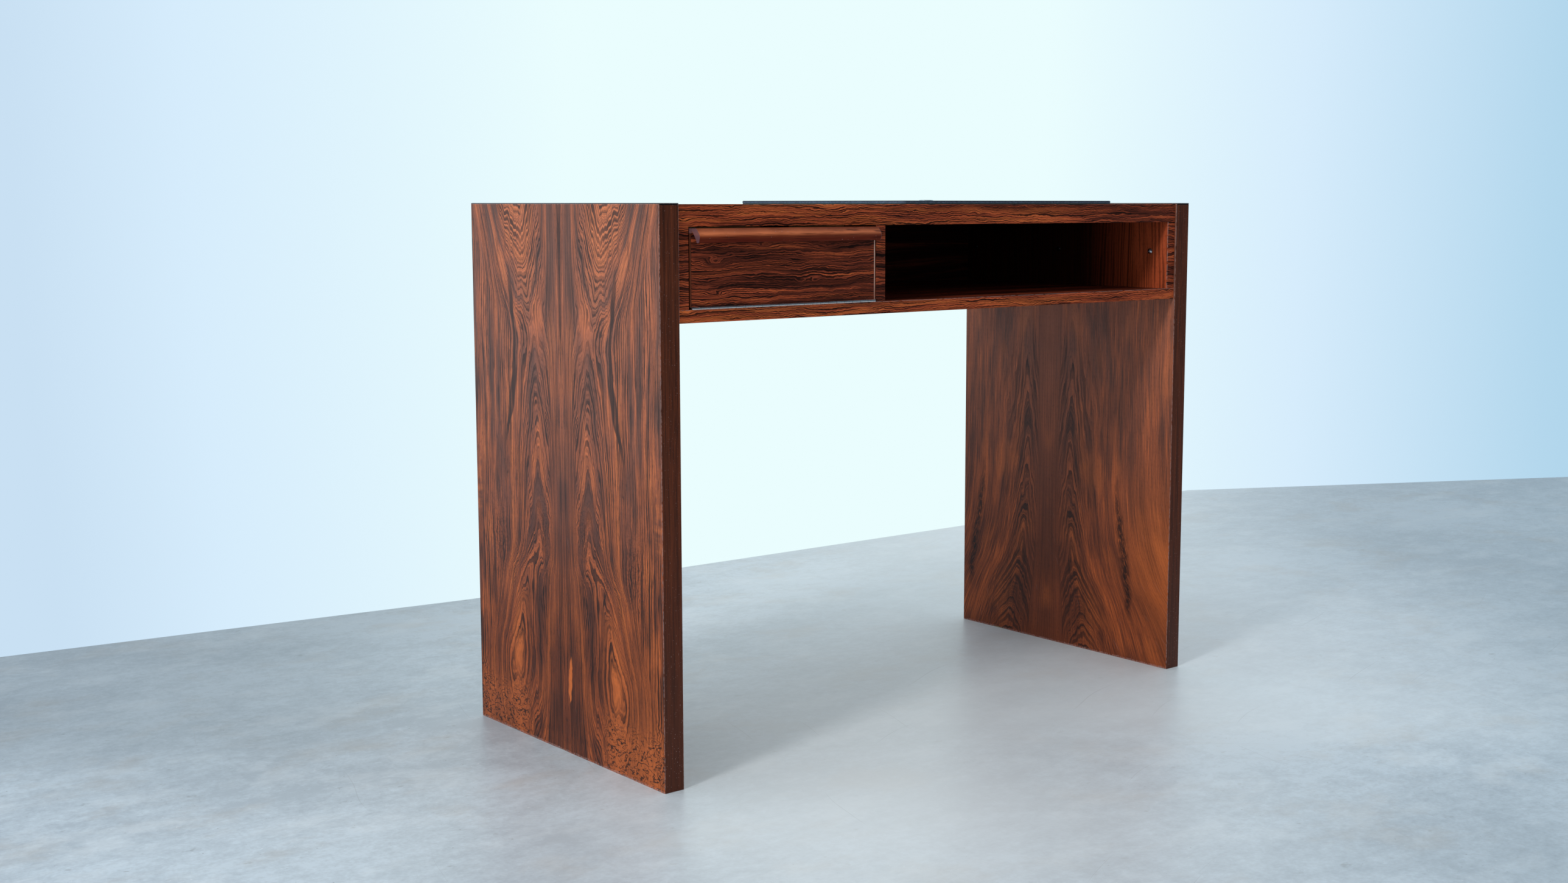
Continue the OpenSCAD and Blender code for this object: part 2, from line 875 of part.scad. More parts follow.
hinge_pin();
hinge_case_screws();
hinge_flap_screws();
flap_panel();
flap_lipping(flap_left_x);  // flap_left_lipping
flap_lipping(flap_right_x - flap_lipping_t);  // flap_right_lipping
flap_pull();
pull_dowels();
strike_plate();
strike_screws();
pad_board();
pad_leather();
pad_felt();
pad_knob();
pad_washer();
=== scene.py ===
"""The looks of a jewellers desk: its veneers, solid edges, fittings and counter pad, on a studio floor.

The desk stands on z = 0 with its front towards -y. Meshes are in metres, materials work in millimetres.
"""

import math

import bmesh
import bpy
from bpy.props import FloatProperty, FloatVectorProperty, PointerProperty
from mathutils import Matrix, Vector
from mathutils import noise as terrain


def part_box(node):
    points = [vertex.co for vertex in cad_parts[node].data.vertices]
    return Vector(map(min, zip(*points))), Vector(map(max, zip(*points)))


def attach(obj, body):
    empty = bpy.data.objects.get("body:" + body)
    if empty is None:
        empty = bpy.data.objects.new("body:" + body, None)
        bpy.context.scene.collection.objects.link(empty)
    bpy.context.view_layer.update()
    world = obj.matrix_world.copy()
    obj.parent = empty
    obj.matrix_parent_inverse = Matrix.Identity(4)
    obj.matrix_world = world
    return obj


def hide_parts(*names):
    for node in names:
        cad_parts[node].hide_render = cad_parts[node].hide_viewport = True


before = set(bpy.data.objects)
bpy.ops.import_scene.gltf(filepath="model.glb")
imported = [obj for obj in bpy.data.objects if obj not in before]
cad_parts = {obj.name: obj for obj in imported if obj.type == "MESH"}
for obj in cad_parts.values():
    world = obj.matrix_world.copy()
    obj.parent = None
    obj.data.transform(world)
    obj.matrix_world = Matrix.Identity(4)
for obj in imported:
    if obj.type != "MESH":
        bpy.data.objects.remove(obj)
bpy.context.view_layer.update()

bl_info = {
    "name": "Jewellers desk",
    "version": (1, 0, 0),
    "blender": (4, 5, 0),
    "location": "3D View > Sidebar > Desk",
    "description": "Builds the veneers, edges, fittings, pad and studio of a jewellers desk",
    "category": "Object",
}


# Sizes in metres

CAP = 0.0012  # thickness of the solid edges' outer strips, which cover the veneers' edges
PROUD = 0.0004  # how far a strip stands out from what it covers
CHIPPED = 0.012  # height of the strip at the veneers' feet that the chips bend
TOUCH = 1e-5  # an edge this near to a face lies on it
PULL_END = 0.003  # how much shorter the pull's hooked bar is than its base, at each end
PANEL_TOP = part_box("left_top_lipping")[1].z

# Places in millimetres

# Painted shade darkens the compartment's inside between these two places along y
SHADED_FROM, SHADED_TO = -190, -30  # along y, where the compartment's inside darkens

# Directions over the floor, to the right and away in the photograph's view

RIGHT = (0.77, -0.64)
AWAY = (0.64, 0.77)


# Settings


def shade(red, green, blue):
    """A colour written in screen values of 0 to 255, as the linear numbers that Blender works with."""
    screen = (red / 255, green / 255, blue / 255)
    return tuple(v / 12.92 if v <= 0.04045 else ((v + 0.055) / 1.055) ** 2.4 for v in screen)


def colour(name, description, *screen):
    """A colour that the user can change."""
    return FloatVectorProperty(
        name=name, description=description, subtype="COLOR", size=3, min=0, max=1, default=shade(*screen)
    )


def length(name, description, millimetres):
    """A length that the user can change."""
    return FloatProperty(
        name=name,
        description=description,
        subtype="DISTANCE",
        unit="LENGTH",
        min=0,
        default=millimetres / 1000,
    )


def share(name, description, value):
    """A number between 0 and 1 that the user can change."""
    return FloatProperty(name=name, description=description, subtype="FACTOR", min=0, max=1, default=value)


def power(name, description, watts):
    """A lamp's power that the user can change."""
    return FloatProperty(name=name, description=description, unit="POWER", min=0, default=watts)


class DeskWoods(bpy.types.PropertyGroup):
    """Colours of the veneers and of the solid woods."""

    veneer_bright: colour("Bright veneer", "The most orange wood in the panels' veneer", 248, 131, 62)
    veneer_light: colour("Light veneer", "Light rings of the panels' veneer", 222, 112, 55)
    veneer_middle: colour("Middle veneer", "Ground of the panels' veneer", 164, 82, 44)
    veneer_dark: colour("Dark veneer", "Dark rings of the panels' veneer", 88, 42, 26)
    veneer_line: colour("Veneer lines", "Near-black lines of the panels' veneer", 20, 10, 8)
    # A greyish colour painted over the veneer high up, as a painted sheen
    veneer_painted_sheen: colour("Painted veneer sheen", "Greyish painted sheen over the veneer high up on the panels", 178, 142, 130)
    stripe_bright: colour("Bright stripes", "Brightest wood of the bands and the flap", 232, 118, 62)
    stripe_light: colour("Light stripe", "Light stripes of the case's fronts and the flap", 208, 95, 56)
    stripe_middle: colour("Middle stripe", "Middle stripes of the case's fronts and the flap", 140, 62, 41)
    stripe_dark: colour("Dark stripe", "Dark stripes of the case's fronts and the flap", 70, 30, 20)
    stripe_line: colour("Stripe lines", "Near-black lines of the case's veneers", 26, 11, 8)
    edge_wood: colour("Edge wood", "Solid wood on the panels' front and back edges", 110, 50, 22)
    edge_wood_dark: colour("Dark edge wood", "Dark grain of the solid edges", 68, 28, 10)
    top_edge: colour("Top edge", "Solid wood along the panels' top edges", 48, 33, 38)
    top_edge_dark: colour("Dark top edge", "Dark grain of the top edges", 26, 18, 22)
    # This pale colour also paints highlights on the bands' arrises
    wear_and_highlight: colour("Worn edge and painted highlight", "Wood where an edge is rubbed, and painted highlights on the bands' arrises", 176, 140, 134)
    pull_wood: colour("Pull", "Light grain of the pull", 146, 74, 46)
    pull_wood_dark: colour("Dark pull", "Dark grain of the pull", 96, 38, 22)
    pull_painted_highlight: colour("Pull's nose", "Painted highlight on the pull's upper face and nose", 236, 134, 86)
    pull_painted_shade: colour("Under the pull", "Painted shade on the pull below its nose", 96, 20, 4)
    pull_vein: colour("Pull's veins", "Near-black veins of the pull", 52, 16, 8)
    pull_end: colour("Pull's ends", "End grain of the pull", 112, 84, 92)
    # The flap's right edge is painted pale, partly as a rubbed arris and partly as a painted highlight
    flap_edge_wear_and_highlight: colour("Flap edge", "Solid wood on the flap's right side, painted pale as a rubbed arris and a painted highlight", 238, 198, 180)
    raw_wood: colour("Raw wood", "Unfinished pale wood of rails and dowels", 176, 146, 104)
    board: colour("Board", "Core of the panels", 170, 138, 96)


class DeskFittings(bpy.types.PropertyGroup):
    """Colours of the metal and plastic fittings."""

    nickel: colour("Nickel", "Bolts and knob", 205, 208, 214)
    # A near-white matt colour, a painted reflection of the hinge's plating
    hinge: colour("Hinge", "Plating of the piano hinge, painted near white as its reflection", 252, 254, 255)
    steel: colour("Steel", "Screws, nuts and plates", 168, 170, 174)
    plastic: colour("Plastic", "Body of the catch", 38, 30, 28)
    magnet: colour("Magnet", "Magnet of the catch", 44, 44, 46)


class DeskPadLooks(bpy.types.PropertyGroup):
    """Colours and sizes of the counter pad."""

    leather: colour("Leather", "Top and sides of the pad", 38, 42, 50)
    # This pale blue also paints the reflection on the pad's sides
    leather_wear_and_reflection: colour("Worn leather and painted reflection", "Leather where it is rubbed, and the painted reflection on the pad's sides", 108, 136, 168)
    felt: colour("Felt", "Under the pad", 62, 84, 74)
    corner: length("Corners", "Radius of the pad's four corners", 10)
    rounding: length("Rounding", "Radius of the leather's upper edge", 1.3)
    hem: length("Hem", "Radius of the leather's lower edge, and how far the felt is set in", 0.4)
    groove: length("Groove", "Depth of the ring turned in the knob", 0.15)


class DeskShapes(bpy.types.PropertyGroup):
    """Roundings and wear of the wood."""

    edge_rounding: length("Edge rounding", "Radius of the solid edges' corners", 1.1)
    band_rounding: length("Band rounding", "Radius of the case bands' corners", 0.3)
    eased: length("Eased edges", "Radius of edges that are only eased, as on the flap's sides", 0.4)
    top_rounding: length("Pull's top", "Radius of the pull's upper front corner", 1.4)
    nose_rounding: length("Pull's nose", "Radius of the pull's foremost corner", 3.2)
    lip_rounding: length("Pull's lip", "Radius of the pull's lower front corner", 1.3)
    heel_rounding: length("Pull's heel", "Radius of the corner behind the pull's lip", 0.8)
    end_rounding: length("Pull's ends", "Radius of the pull's end corners and of its back", 0.6)
    chip: length("Chips", "How far the veneers' lower edges are broken away", 3.0)


class DeskStudio(bpy.types.PropertyGroup):
    """Floor, background and light."""

    floor: colour("Floor", "Polished concrete", 195, 209, 221)
    stain: colour("Stain", "Darker patches of the floor", 174, 187, 199)
    wall_left: colour("Wall, left", "Background at the far left", 201, 224, 243)
    wall_side: colour("Wall, side", "Background between its middle and its ends", 214, 236, 252)
    wall: colour("Wall", "Background behind the desk", 234, 253, 254)
    wall_right: colour("Wall, right", "Background at the far right", 178, 214, 236)
    room: colour("Room", "What the desk's front mirrors of the room before it", 50, 54, 60)
    fill: share("Fill", "Strength of the light from all round", 0.8)
    key_power: power("Key light", "Power of the key light", 130)
    key_size: length("Key size", "Width of the key light", 1100)


# Materials, in whose functions g is the material under construction and woods are the user's colours


class Wire:
    """A number or colour on its way through a material, which can be added and multiplied."""

    def __init__(self, graph, socket):
        self.graph = graph
        self.socket = socket

    def __add__(self, other):
        return self.graph.math("ADD", self, other)

    def __sub__(self, other):
        return self.graph.math("SUBTRACT", self, other)

    def __rsub__(self, other):
        return self.graph.math("SUBTRACT", other, self)

    def __mul__(self, other):
        return self.graph.math("MULTIPLY", self, other)

    def __truediv__(self, other):
        return self.graph.math("DIVIDE", self, other)

    def __pow__(self, other):
        return self.graph.math("POWER", self, other)

    def __abs__(self):
        return self.graph.math("ABSOLUTE", self)

    __radd__ = __add__


class Graph:
    """A node tree under construction."""

    def __init__(self, tree):
        self.tree = tree

    def node(self, kind, values=None, **settings):
        """A new node with its settings made and its inputs fed."""
        made = self.tree.nodes.new(kind)
        for name, value in settings.items():
            setattr(made, name, value)
        for key, value in (values or {}).items():
            self.feed(made.inputs[key], value)
        return made

    def feed(self, socket, value):
        """Links a wire to an input, or sets the input to a number or colour."""
        if isinstance(value, Wire):
            value = value.socket
        if isinstance(value, bpy.types.NodeSocket):
            self.tree.links.new(value, socket)
        elif socket.type == "RGBA":
            socket.default_value = (*value[:3], 1)
        else:
            socket.default_value = value

    def math(self, operation, first, second=0.0):
        """One sum on two numbers."""
        made = self.node("ShaderNodeMath", {0: first, 1: second}, operation=operation)
        return Wire(self, made.outputs[0])

    def most(self, first, second):
        """The higher of two numbers."""
        return self.math("MAXIMUM", first, second)

    def up_to_one(self, value):
        """A number, but never more than 1."""
        return self.math("MINIMUM", value, 1)

    def noise(self, a, b=0.0, c=0.0, detail=2.0, rough=0.5):
        """Noise between 0 and 1, mostly near 0.5."""
        place = self.node("ShaderNodeCombineXYZ", {0: a, 1: b, 2: c}).outputs[0]
        values = {"Vector": place, "Scale": 1.0, "Detail": detail, "Roughness": rough}
        return Wire(self, self.node("ShaderNodeTexNoise", values).outputs[0])

    def sway(self, amount, a, b=0.0, c=0.0, detail=1.0):
        """Noise round zero that mostly stays within the amount."""
        return (self.noise(a, b, c, detail) - 0.5) * (2.5 * amount)

    def patches(self, low, high, a, b=0.0, c=0.0, detail=2.0, rough=0.5):
        """Patches of 1 on 0, with edges where a noise goes from low to high."""
        return self.step(self.noise(a, b, c, detail, rough), low, high)

    def step(self, value, low, high):
        """0 up to low and 1 from high, or the other way round where low is above high."""
        if low > high:
            return 1 - self.step(value, high, low)
        values = {"Value": value, "From Min": low, "From Max": high}
        made = self.node("ShaderNodeMapRange", values, interpolation_type="SMOOTHSTEP")
        return Wire(self, made.outputs["Result"])

    def spot(self, *terms):
        """1 in the middle of a soft patch. A term is a wire, its value in the middle and its reach."""
        total = 0.0
        for wire, middle, reach in terms:
            offset = (wire - middle) / reach
            total = offset * offset + total
        return self.math("EXPONENT", total * -1)

    def ramp(self, value, *stops):
        """A colour from a number, through (place, colour) stops."""
        made = self.node("ShaderNodeValToRGB", {0: value})
        line = made.color_ramp.elements
        line[0].position = stops[0][0]
        line[1].position = stops[-1][0]
        line[0].color = (*stops[0][1][:3], 1)
        line[1].color = (*stops[-1][1][:3], 1)
        for place, shown in stops[1:-1]:
            line.new(place).color = (*shown[:3], 1)
        return Wire(self, made.outputs["Color"])

    def mix(self, first, second, amount):
        """The first colour turned into the second by an amount of 0 to 1."""
        made = self.node("ShaderNodeMix", {0: amount, 6: first, 7: second}, data_type="RGBA")
        return Wire(self, made.outputs[2])

    def curve(self, value, points):
        """A number that runs smoothly through (value, result) points. The results are not all the same."""
        first, last = points[0][0], points[-1][0]
        low = min(p[1] for p in points)
        high = max(p[1] for p in points)
        made = self.node("ShaderNodeFloatCurve", {"Value": (value - first) * (1 / (last - first))})
        line = made.mapping.curves[0].points
        places = [((p[0] - first) / (last - first), (p[1] - low) / (high - low)) for p in points]
        line[0].location = places[0]
        line[1].location = places[-1]
        for place in places[1:-1]:
            line.new(*place)
        made.mapping.extend = "HORIZONTAL"
        made.mapping.update()
        return Wire(self, made.outputs[0]) * (high - low) + low


class Finish(Graph):
    """A material under construction. Its x, y and z are the place on the desk in millimetres."""

    def __init__(self, name):
        self.material = bpy.data.materials.new(name)
        self.material.use_nodes = True
        super().__init__(self.material.node_tree)
        self.shader = self.tree.nodes["Principled BSDF"]
        place = self.node("ShaderNodeTexCoord").outputs["Object"]
        split = self.node("ShaderNodeSeparateXYZ", {0: place})
        self.x, self.y, self.z = (Wire(self, out) * 1000 for out in split.outputs)

    def ground(self, shown):
        """The colour that the coats go over."""
        self.shown = shown

    def coat(self, shown, amount):
        """Lays a colour over what is there, by an amount of 0 to 1."""
        self.shown = self.mix(self.shown, shown, amount)

    def axes(self, along):
        """The place along the grain, which runs with one axis, and across it."""
        run = getattr(self, along)
        return run, self.x + self.y + self.z - run

    def surface(self, roughness, height=None, depth=0.0, **sockets):
        """Sets the shader. A height of 1 stands for a depth in millimetres."""
        self.feed(self.shader.inputs["Base Color"], self.shown)
        self.feed(self.shader.inputs["Roughness"], roughness)
        if height is not None:
            values = {"Height": height, "Distance": depth / 1000, "Strength": 1.0}
            self.feed(self.shader.inputs["Normal"], self.node("ShaderNodeBump", values).outputs[0])
        for name, value in sockets.items():
            self.feed(self.shader.inputs[name.replace("_", " ")], value)
        return self.material


def shared(name, make, *values, **settings):
    """The material of a name, made when it is first asked for."""
    return bpy.data.materials.get(name) or make(name, *values, **settings)


def painted_foot_shade(g):
    """How much painted shade darkens a panel: 0 near its top and 1 near its foot."""
    return g.step(g.z, 660, 120)


def rings(g, field, along, spacing, seed):
    """Growth rings as two numbers of 0 to 1: a soft shade across each ring, and the line that ends it."""
    uneven = g.noise(field / (spacing * 4), along / 1500, seed, detail=3, rough=0.6)
    count = field / spacing + uneven * 4
    number = g.math("FLOOR", count)
    part = count - number
    weight = g.patches(0.3, 0.6, number * 5.3, along / 150, seed + 1, detail=3, rough=0.6)
    line = g.step(part + weight * 0.42, 0.83, 0.98) * (weight * 0.45 + 0.55)
    return part * part * weight, line


def pores(g, across, along, seed):
    """Short open pores along the grain, as 0 to 1."""
    return g.patches(0.58, 0.66, across / 0.55, along / 7, seed, detail=1)


class Leaves:
    """Two mirrored leaves of veneer, whose rings are the contours of a field in millimetres.

    All lists run along the height. heart is the distance from the seam to a leaf's middle, rise tips the
    rings there, blunt rounds their tips, outward is how steep they are past the middle, and spread how far
    they reach. flare, where it is given, is below 1 at heights where the figure widens.

    leaf is the place from the seam, below 0 on the left leaf. from_seam is its distance, and height is the
    height with the small teeth that the rings have.
    """

    def __init__(self, g, seed, seam, heart, rise, blunt, outward, spread, flare=None):
        leaf = (g.y - seam) * (g.curve(g.z, flare) if flare else 1)
        from_seam = abs(leaf) + g.sway(3, leaf / 130, g.z / 300, seed)
        teeth = g.sway(4.5, from_seam / 5, g.z / 160, seed + 1, detail=3)
        teeth = teeth + g.sway(8, from_seam / 17, g.z / 150, seed + 2)
        past_heart = g.step(from_seam - g.curve(g.z, heart), 28, 80)
        height = g.z + teeth * (1 - past_heart * 0.85)
        axis = g.curve(height, heart)
        offset = from_seam - axis
        tip = g.curve(height, blunt)
        steep = offset * (0.85 - g.step(offset, -5, 5) * (0.85 - g.curve(height, outward)))
        figure = (steep * steep + tip * tip) ** 0.5 - tip + g.curve(height, rise)
        figure = figure + g.sway(9, from_seam / 60, height / 230, seed + 3)
        figure = figure + g.sway(4, from_seam / 17, height / 70, seed + 4)
        straight = 84 - from_seam * 1.2
        inside = g.step(from_seam / axis, 0.1, 0.5)
        beyond = g.step(offset / g.curve(g.z, spread), 0.25, 1)
        field = straight + (figure - straight) * inside
        outer = from_seam - 92 + g.sway(6, from_seam / 50, g.z / 210, seed + 6)
        field = field + (outer - field) * beyond
        field = field + g.sway(1.0, from_seam / 7, height / 30, seed + 5)
        field = field + g.sway(0.4, from_seam / 2.6, g.z / 13, seed + 7)
        self.seed, self.leaf, self.from_seam = seed, leaf, from_seam
        self.height, self.field = height, field


def lay_ground(g, woods, leaves, bright, brown):
    """The veneer's ground colour, with a painted greyish sheen high up and painted shade low down.

    brown is how much less orange it is, most of all along the seam.
    """
    from_seam, seed = leaves.from_seam, leaves.seed
    broad = g.noise(leaves.field / 16, g.z / 420, seed + 40, detail=4, rough=0.68)
    clouds = g.noise(from_seam / 52, g.z / 150, seed + 41, detail=2)
    fibre = g.noise(leaves.leaf / 0.9, g.z / 55, seed + 42, detail=2)
    # low is how much painted shade darkens the veneer towards the foot
    low = painted_foot_shade(g)
    tone = ((broad - 0.5) * 3.6 + (clouds - 0.5) * 2.4) * (1.25 - brown)
    tone = tone + (fibre - 0.5) * (0.6 + brown) + 0.7 - brown * 0.43 - low * 0.06
    stops = ((0.05, woods.veneer_dark), (0.38, woods.veneer_middle), (0.68, woods.veneer_light))
    g.ground(g.ramp(tone, *stops, (1.0, woods.veneer_bright)))
    g.coat(woods.veneer_middle, g.spot((from_seam, 0, 42)) * brown)
    g.coat(woods.veneer_dark, g.spot((from_seam, 0, 30)) * g.step(g.z, 440, 200) * brown * 0.7)
    g.coat(woods.veneer_bright, bright)
    # Painted greyish sheen high up on the panel
    g.coat(woods.veneer_painted_sheen, g.step(g.z, 60, 700) * 0.2)
    # Painted shade, darker towards the panel's foot
    g.coat(woods.veneer_dark, low * 0.34 + g.step(g.z, 180, 40) * 0.08)


def draw_grain(g, woods, leaves, plain, brown, spacing):
    """Rings, streaks and flecks over the ground, fewer where plain is near 1.

    The result is the line that ends each ring.
    """
    field, from_seam, height, seed = leaves.field, leaves.from_seam, leaves.height, leaves.seed
    calm = g.patches(0.44, 0.62, from_seam / 46, g.z / 120, seed + 50, detail=2) * 0.38
    busy = 1 - g.up_to_one(calm + plain)
    soft, line = rings(g, field, g.z, spacing, seed)
    fine = rings(g, field, g.z, 1.7, seed + 20)[1]
    # A few more black streaks near the foot, as painted shade
    blackness = g.noise(field / 8, g.z / 260, seed + 43, detail=3, rough=0.62) + painted_foot_shade(g) * 0.03
    streaks = g.step(blackness, 0.54, 0.68)
    smears = g.patches(0.56, 0.7, from_seam / 4.5, height / 50, seed + 48, detail=3, rough=0.62)
    smears = smears * g.step(from_seam, 20, 60)
    upright = g.patches(0.5, 0.62, from_seam / 1.9, g.z / 340, seed + 49, detail=2, rough=0.6)
    ragged = g.patches(0.55, 0.66, field / 1.9, height / 17, seed + 51, detail=3, rough=0.66)
    flecked = g.patches(0.44, 0.6, from_seam / 38, g.z / 85, seed + 53, detail=2)
    g.coat(woods.veneer_dark, soft * (busy * 0.5 + 0.2))
    for amount in (
        streaks * busy * 0.6,
        smears * busy * 0.56,
        upright * g.step(from_seam, 62, 20) * (0.72 - brown * 0.5),
        ragged * (busy * (0.2 + flecked * (0.9 - brown)) + 0.1),
        fine * (busy * 0.32 + 0.14),
        line * (busy * (0.92 - brown * 0.22) + 0.03),
    ):
        g.coat(woods.veneer_line, amount)
    return line


def wear_veneer(g, woods, leaves, line):
    """Pores, rubbed edges and scratches, a painted greyish sheen high up, and the polish over it all."""
    leaf, seed = leaves.leaf, leaves.seed
    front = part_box("left_front_lipping")[0].y * 1000
    top = (PANEL_TOP - CAP) * 1000
    open_pores = pores(g, leaf, g.z, seed + 44)
    g.coat(woods.veneer_line, open_pores * 0.3)
    # More painted greyish sheen high up
    g.coat(woods.veneer_painted_sheen, g.step(g.z, 100, 620) * 0.1)
    edge = g.most(g.step(g.y, front + 1.4, front + 0.7), g.step(g.z, top - 1.2, top - 0.4) * 0.6)
    edge = g.most(edge, g.step(g.z + g.sway(2, g.y / 12, seed + 52), 3.4, 1.6) * 0.7)
    g.coat(woods.wear_and_highlight, edge * g.patches(0.4, 0.56, g.y / 1.3, g.z / 5, seed + 45) * 0.75)
    slant = leaf * 0.34 + g.z * 0.94
    scratches = g.patches(0.82, 0.86, slant / 36, (leaf - slant * 0.3) / 0.8, seed + 46, detail=0)
    g.coat(woods.wear_and_highlight, scratches * 0.3)
    rough = 0.3 + g.noise(g.y / 40, g.z / 60, seed + 47) * 0.14 + line * 0.05
    return g.surface(rough, 1 - open_pores * 0.8, 0.03, IOR=1.27)


def streak(g, across, path, wide, edge, ends):
    """A dark streak that follows a path up a leaf, with a changing width.

    edge is how far from the path, in widths, it has ended and is still full. ends are the heights where it
    starts, is full, begins to fade and ends.
    """
    start, full, fading, end = ends
    reach = abs(across - path) / wide
    return g.step(reach, *edge) * g.step(g.z, start, full) * g.step(g.z, end, fading)


def outer_veneer(name, woods):
    """The panels' outer veneer: two mirrored leaves with pointed figure above and burl below."""
    g = Finish(name)
    seed = 3.0
    seam = 7.2

    # Each list holds heights on the panel and a value at each
    heart = [(0, 120), (60, 128), (105, 128), (150, 118), (232, 95), (300, 66), (410, 66), (530, 67)]
    heart += [(618, 86), (683, 96), (740, 106)]
    rise = [(0, -50), (40, -66), (75, -77), (105, -81), (140, -76), (232, -60), (300, -48), (410, -28)]
    rise += [(529, -5), (570, 0), (618, -12), (683, -36), (740, -58)]
    blunt = [(0, 10), (105, 15), (170, 9), (300, 8), (560, 6), (640, 5), (740, 6)]
    outward = [(0, 0.8), (300, 0.9), (560, 0.8), (620, 0.5), (740, 0.4)]
    spread = [(0, 85), (560, 80), (640, 110), (740, 140)]
    leaves = Leaves(g, seed, seam, heart, rise, blunt, outward, spread)
    leaf, from_seam = leaves.leaf, leaves.from_seam

    # Curls and burl bend the rings
    curls = g.spot((from_seam, 52, 20), (g.z, 300, 62)) + g.spot((from_seam, 168, 24), (g.z, 275, 60))
    leaves.field = leaves.field + curls * g.sway(5, from_seam / 10, g.z / 22, seed + 61, detail=2)
    burl = g.step(g.z + g.sway(30, from_seam / 40, seed), 92, 44) * g.step(from_seam, 78, 112)
    leaves.field = leaves.field + burl * g.sway(9, from_seam / 20, g.z / 13, seed + 60, detail=2)

    # Dark marks: curly lines and knots in the burl, the black streak and a small hole
    coil = g.noise(from_seam / 22, g.z / 12, g.noise(from_seam / 9, g.z / 9, seed + 64) * 1.4, detail=1)
    worms = g.step(abs(g.math("FRACT", coil * 6.5) - 0.5), 0.2, 0.09) * g.up_to_one(burl + curls * 0.5)
    worms = worms * (g.patches(0.36, 0.52, from_seam / 13, g.z / 10, seed + 63) * 0.9 + 0.1)
    knots = g.patches(0.62, 0.7, from_seam / 7, g.z / 5, seed + 65, detail=2) * burl
    path = g.curve(g.z, [(380, 150), (425, 142), (475, 128), (538, 119), (611, 128), (680, 140)])
    path = path + g.sway(4, g.z / 40, seed)
    wide = [(380, 1), (440, 4), (482, 7.5), (530, 3.4), (560, 2.4), (612, 5), (650, 2.8), (680, 1)]
    black = streak(g, from_seam, path, g.curve(g.z, wide), (1.25, 0.7), (385, 440, 610, 668))
    black = black * g.patches(0.22, 0.4, from_seam / 2.2, g.z / 60, seed + 7, detail=3)
    hole = g.spot((leaf, -99, 4), (g.z, 232, 6)) * g.patches(0.3, 0.5, leaf / 2, g.z / 3, seed + 8)

    # Bright places: a sliver at the seam, rippled wood near the outer edge and glowing patches
    sliver = leaf + (g.z - 100) * 0.06 + g.sway(2, g.z / 9, seed)
    sliver = g.step(g.spot((sliver, -11, 4.2), (g.z, 102, 32)), 0.3, 0.5)
    ripple = g.step(from_seam, 196, 226) * g.spot((g.z, 350, 90))
    ripple = g.step(ripple * g.noise(from_seam / 24, g.z / 9, seed + 70), 0.3, 0.62)
    glow = g.patches(0.52, 0.74, from_seam / 34, g.z / 120, seed + 80) * 0.5 + burl * 0.4
    glow = glow + g.step(g.z, 260, 60) * g.step(leaf, -60, -190) * 0.5

    # Plain places, at the hearts of the figure
    plain = g.spot((from_seam, 127, 16), (g.z, 104, 44))
    plain = plain + g.spot((from_seam, 62, 22), (g.z, 575, 40)) * 0.6
    plain = plain + g.spot((from_seam, 64, 15), (g.z, 330, 44)) * 0.7 + burl * 0.5

    brown = 0.4
    lay_ground(g, woods, leaves, g.up_to_one(ripple * 0.7 + glow), brown)
    line = draw_grain(g, woods, leaves, plain, brown, spacing=4.0)
    g.coat(woods.veneer_line, g.up_to_one(black * 0.9 + hole + worms * 0.85 + knots * 0.7))
    g.coat(woods.veneer_bright, sliver * 0.66)
    return wear_veneer(g, woods, leaves, line)


def inner_veneer(name, woods):
    """The panels' inner veneer: two mirrored leaves with arches that point up."""
    g = Finish(name)
    seed = 43.0
    seam = 38.7

    # Each list holds heights on the panel and a value at each
    heart = [(0, 53), (148, 51), (300, 50), (475, 52), (740, 60)]
    rise = [(0, -84), (480, 0), (560, 4), (740, 6)]
    blunt = [(0, 8), (740, 6)]
    outward = [(0, 0.85), (740, 0.95)]
    spread = [(0, 90), (740, 85)]
    flare = [(0, 0.6), (70, 0.69), (150, 0.86), (240, 0.97), (330, 1), (740, 1)]
    leaves = Leaves(g, seed, seam, heart, rise, blunt, outward, spread, flare)
    from_seam = leaves.from_seam

    # The black streak low down on both leaves
    path = g.curve(g.z, [(40, 186), (90, 182), (161, 172), (240, 157), (330, 150)])
    path = path + g.sway(5, g.z / 24, seed)
    wide = g.curve(g.z, [(40, 2), (100, 9), (170, 12), (250, 8), (330, 2)])
    black = streak(g, abs(g.y - seam), path, wide, (1.2, 0.1), (50, 100, 220, 330))
    black = black * g.patches(0.34, 0.54, from_seam / 2.6, g.z / 11, seed + 7, detail=4, rough=0.7)

    # Bright places, among them painted light low down at the front, and the arches, which stand out from
    # plain wood
    glow = g.patches(0.52, 0.74, from_seam / 40, g.z / 130, seed + 80) * 0.4
    # Painted light on the lower front of the inner face
    glow = glow + g.step(leaves.leaf, -110, -230) * g.step(g.z, 400, 100) * 0.6
    arches = g.spot((from_seam - g.curve(g.z, heart), 0, 30)) * g.step(g.z, 540, 470)

    brown = 0.85
    lay_ground(g, woods, leaves, g.up_to_one(glow), brown)
    line = draw_grain(g, woods, leaves, 0.88 - arches * 0.88, brown, spacing=5.0)
    g.coat(woods.veneer_line, black * 0.9)
    return wear_veneer(g, woods, leaves, line)


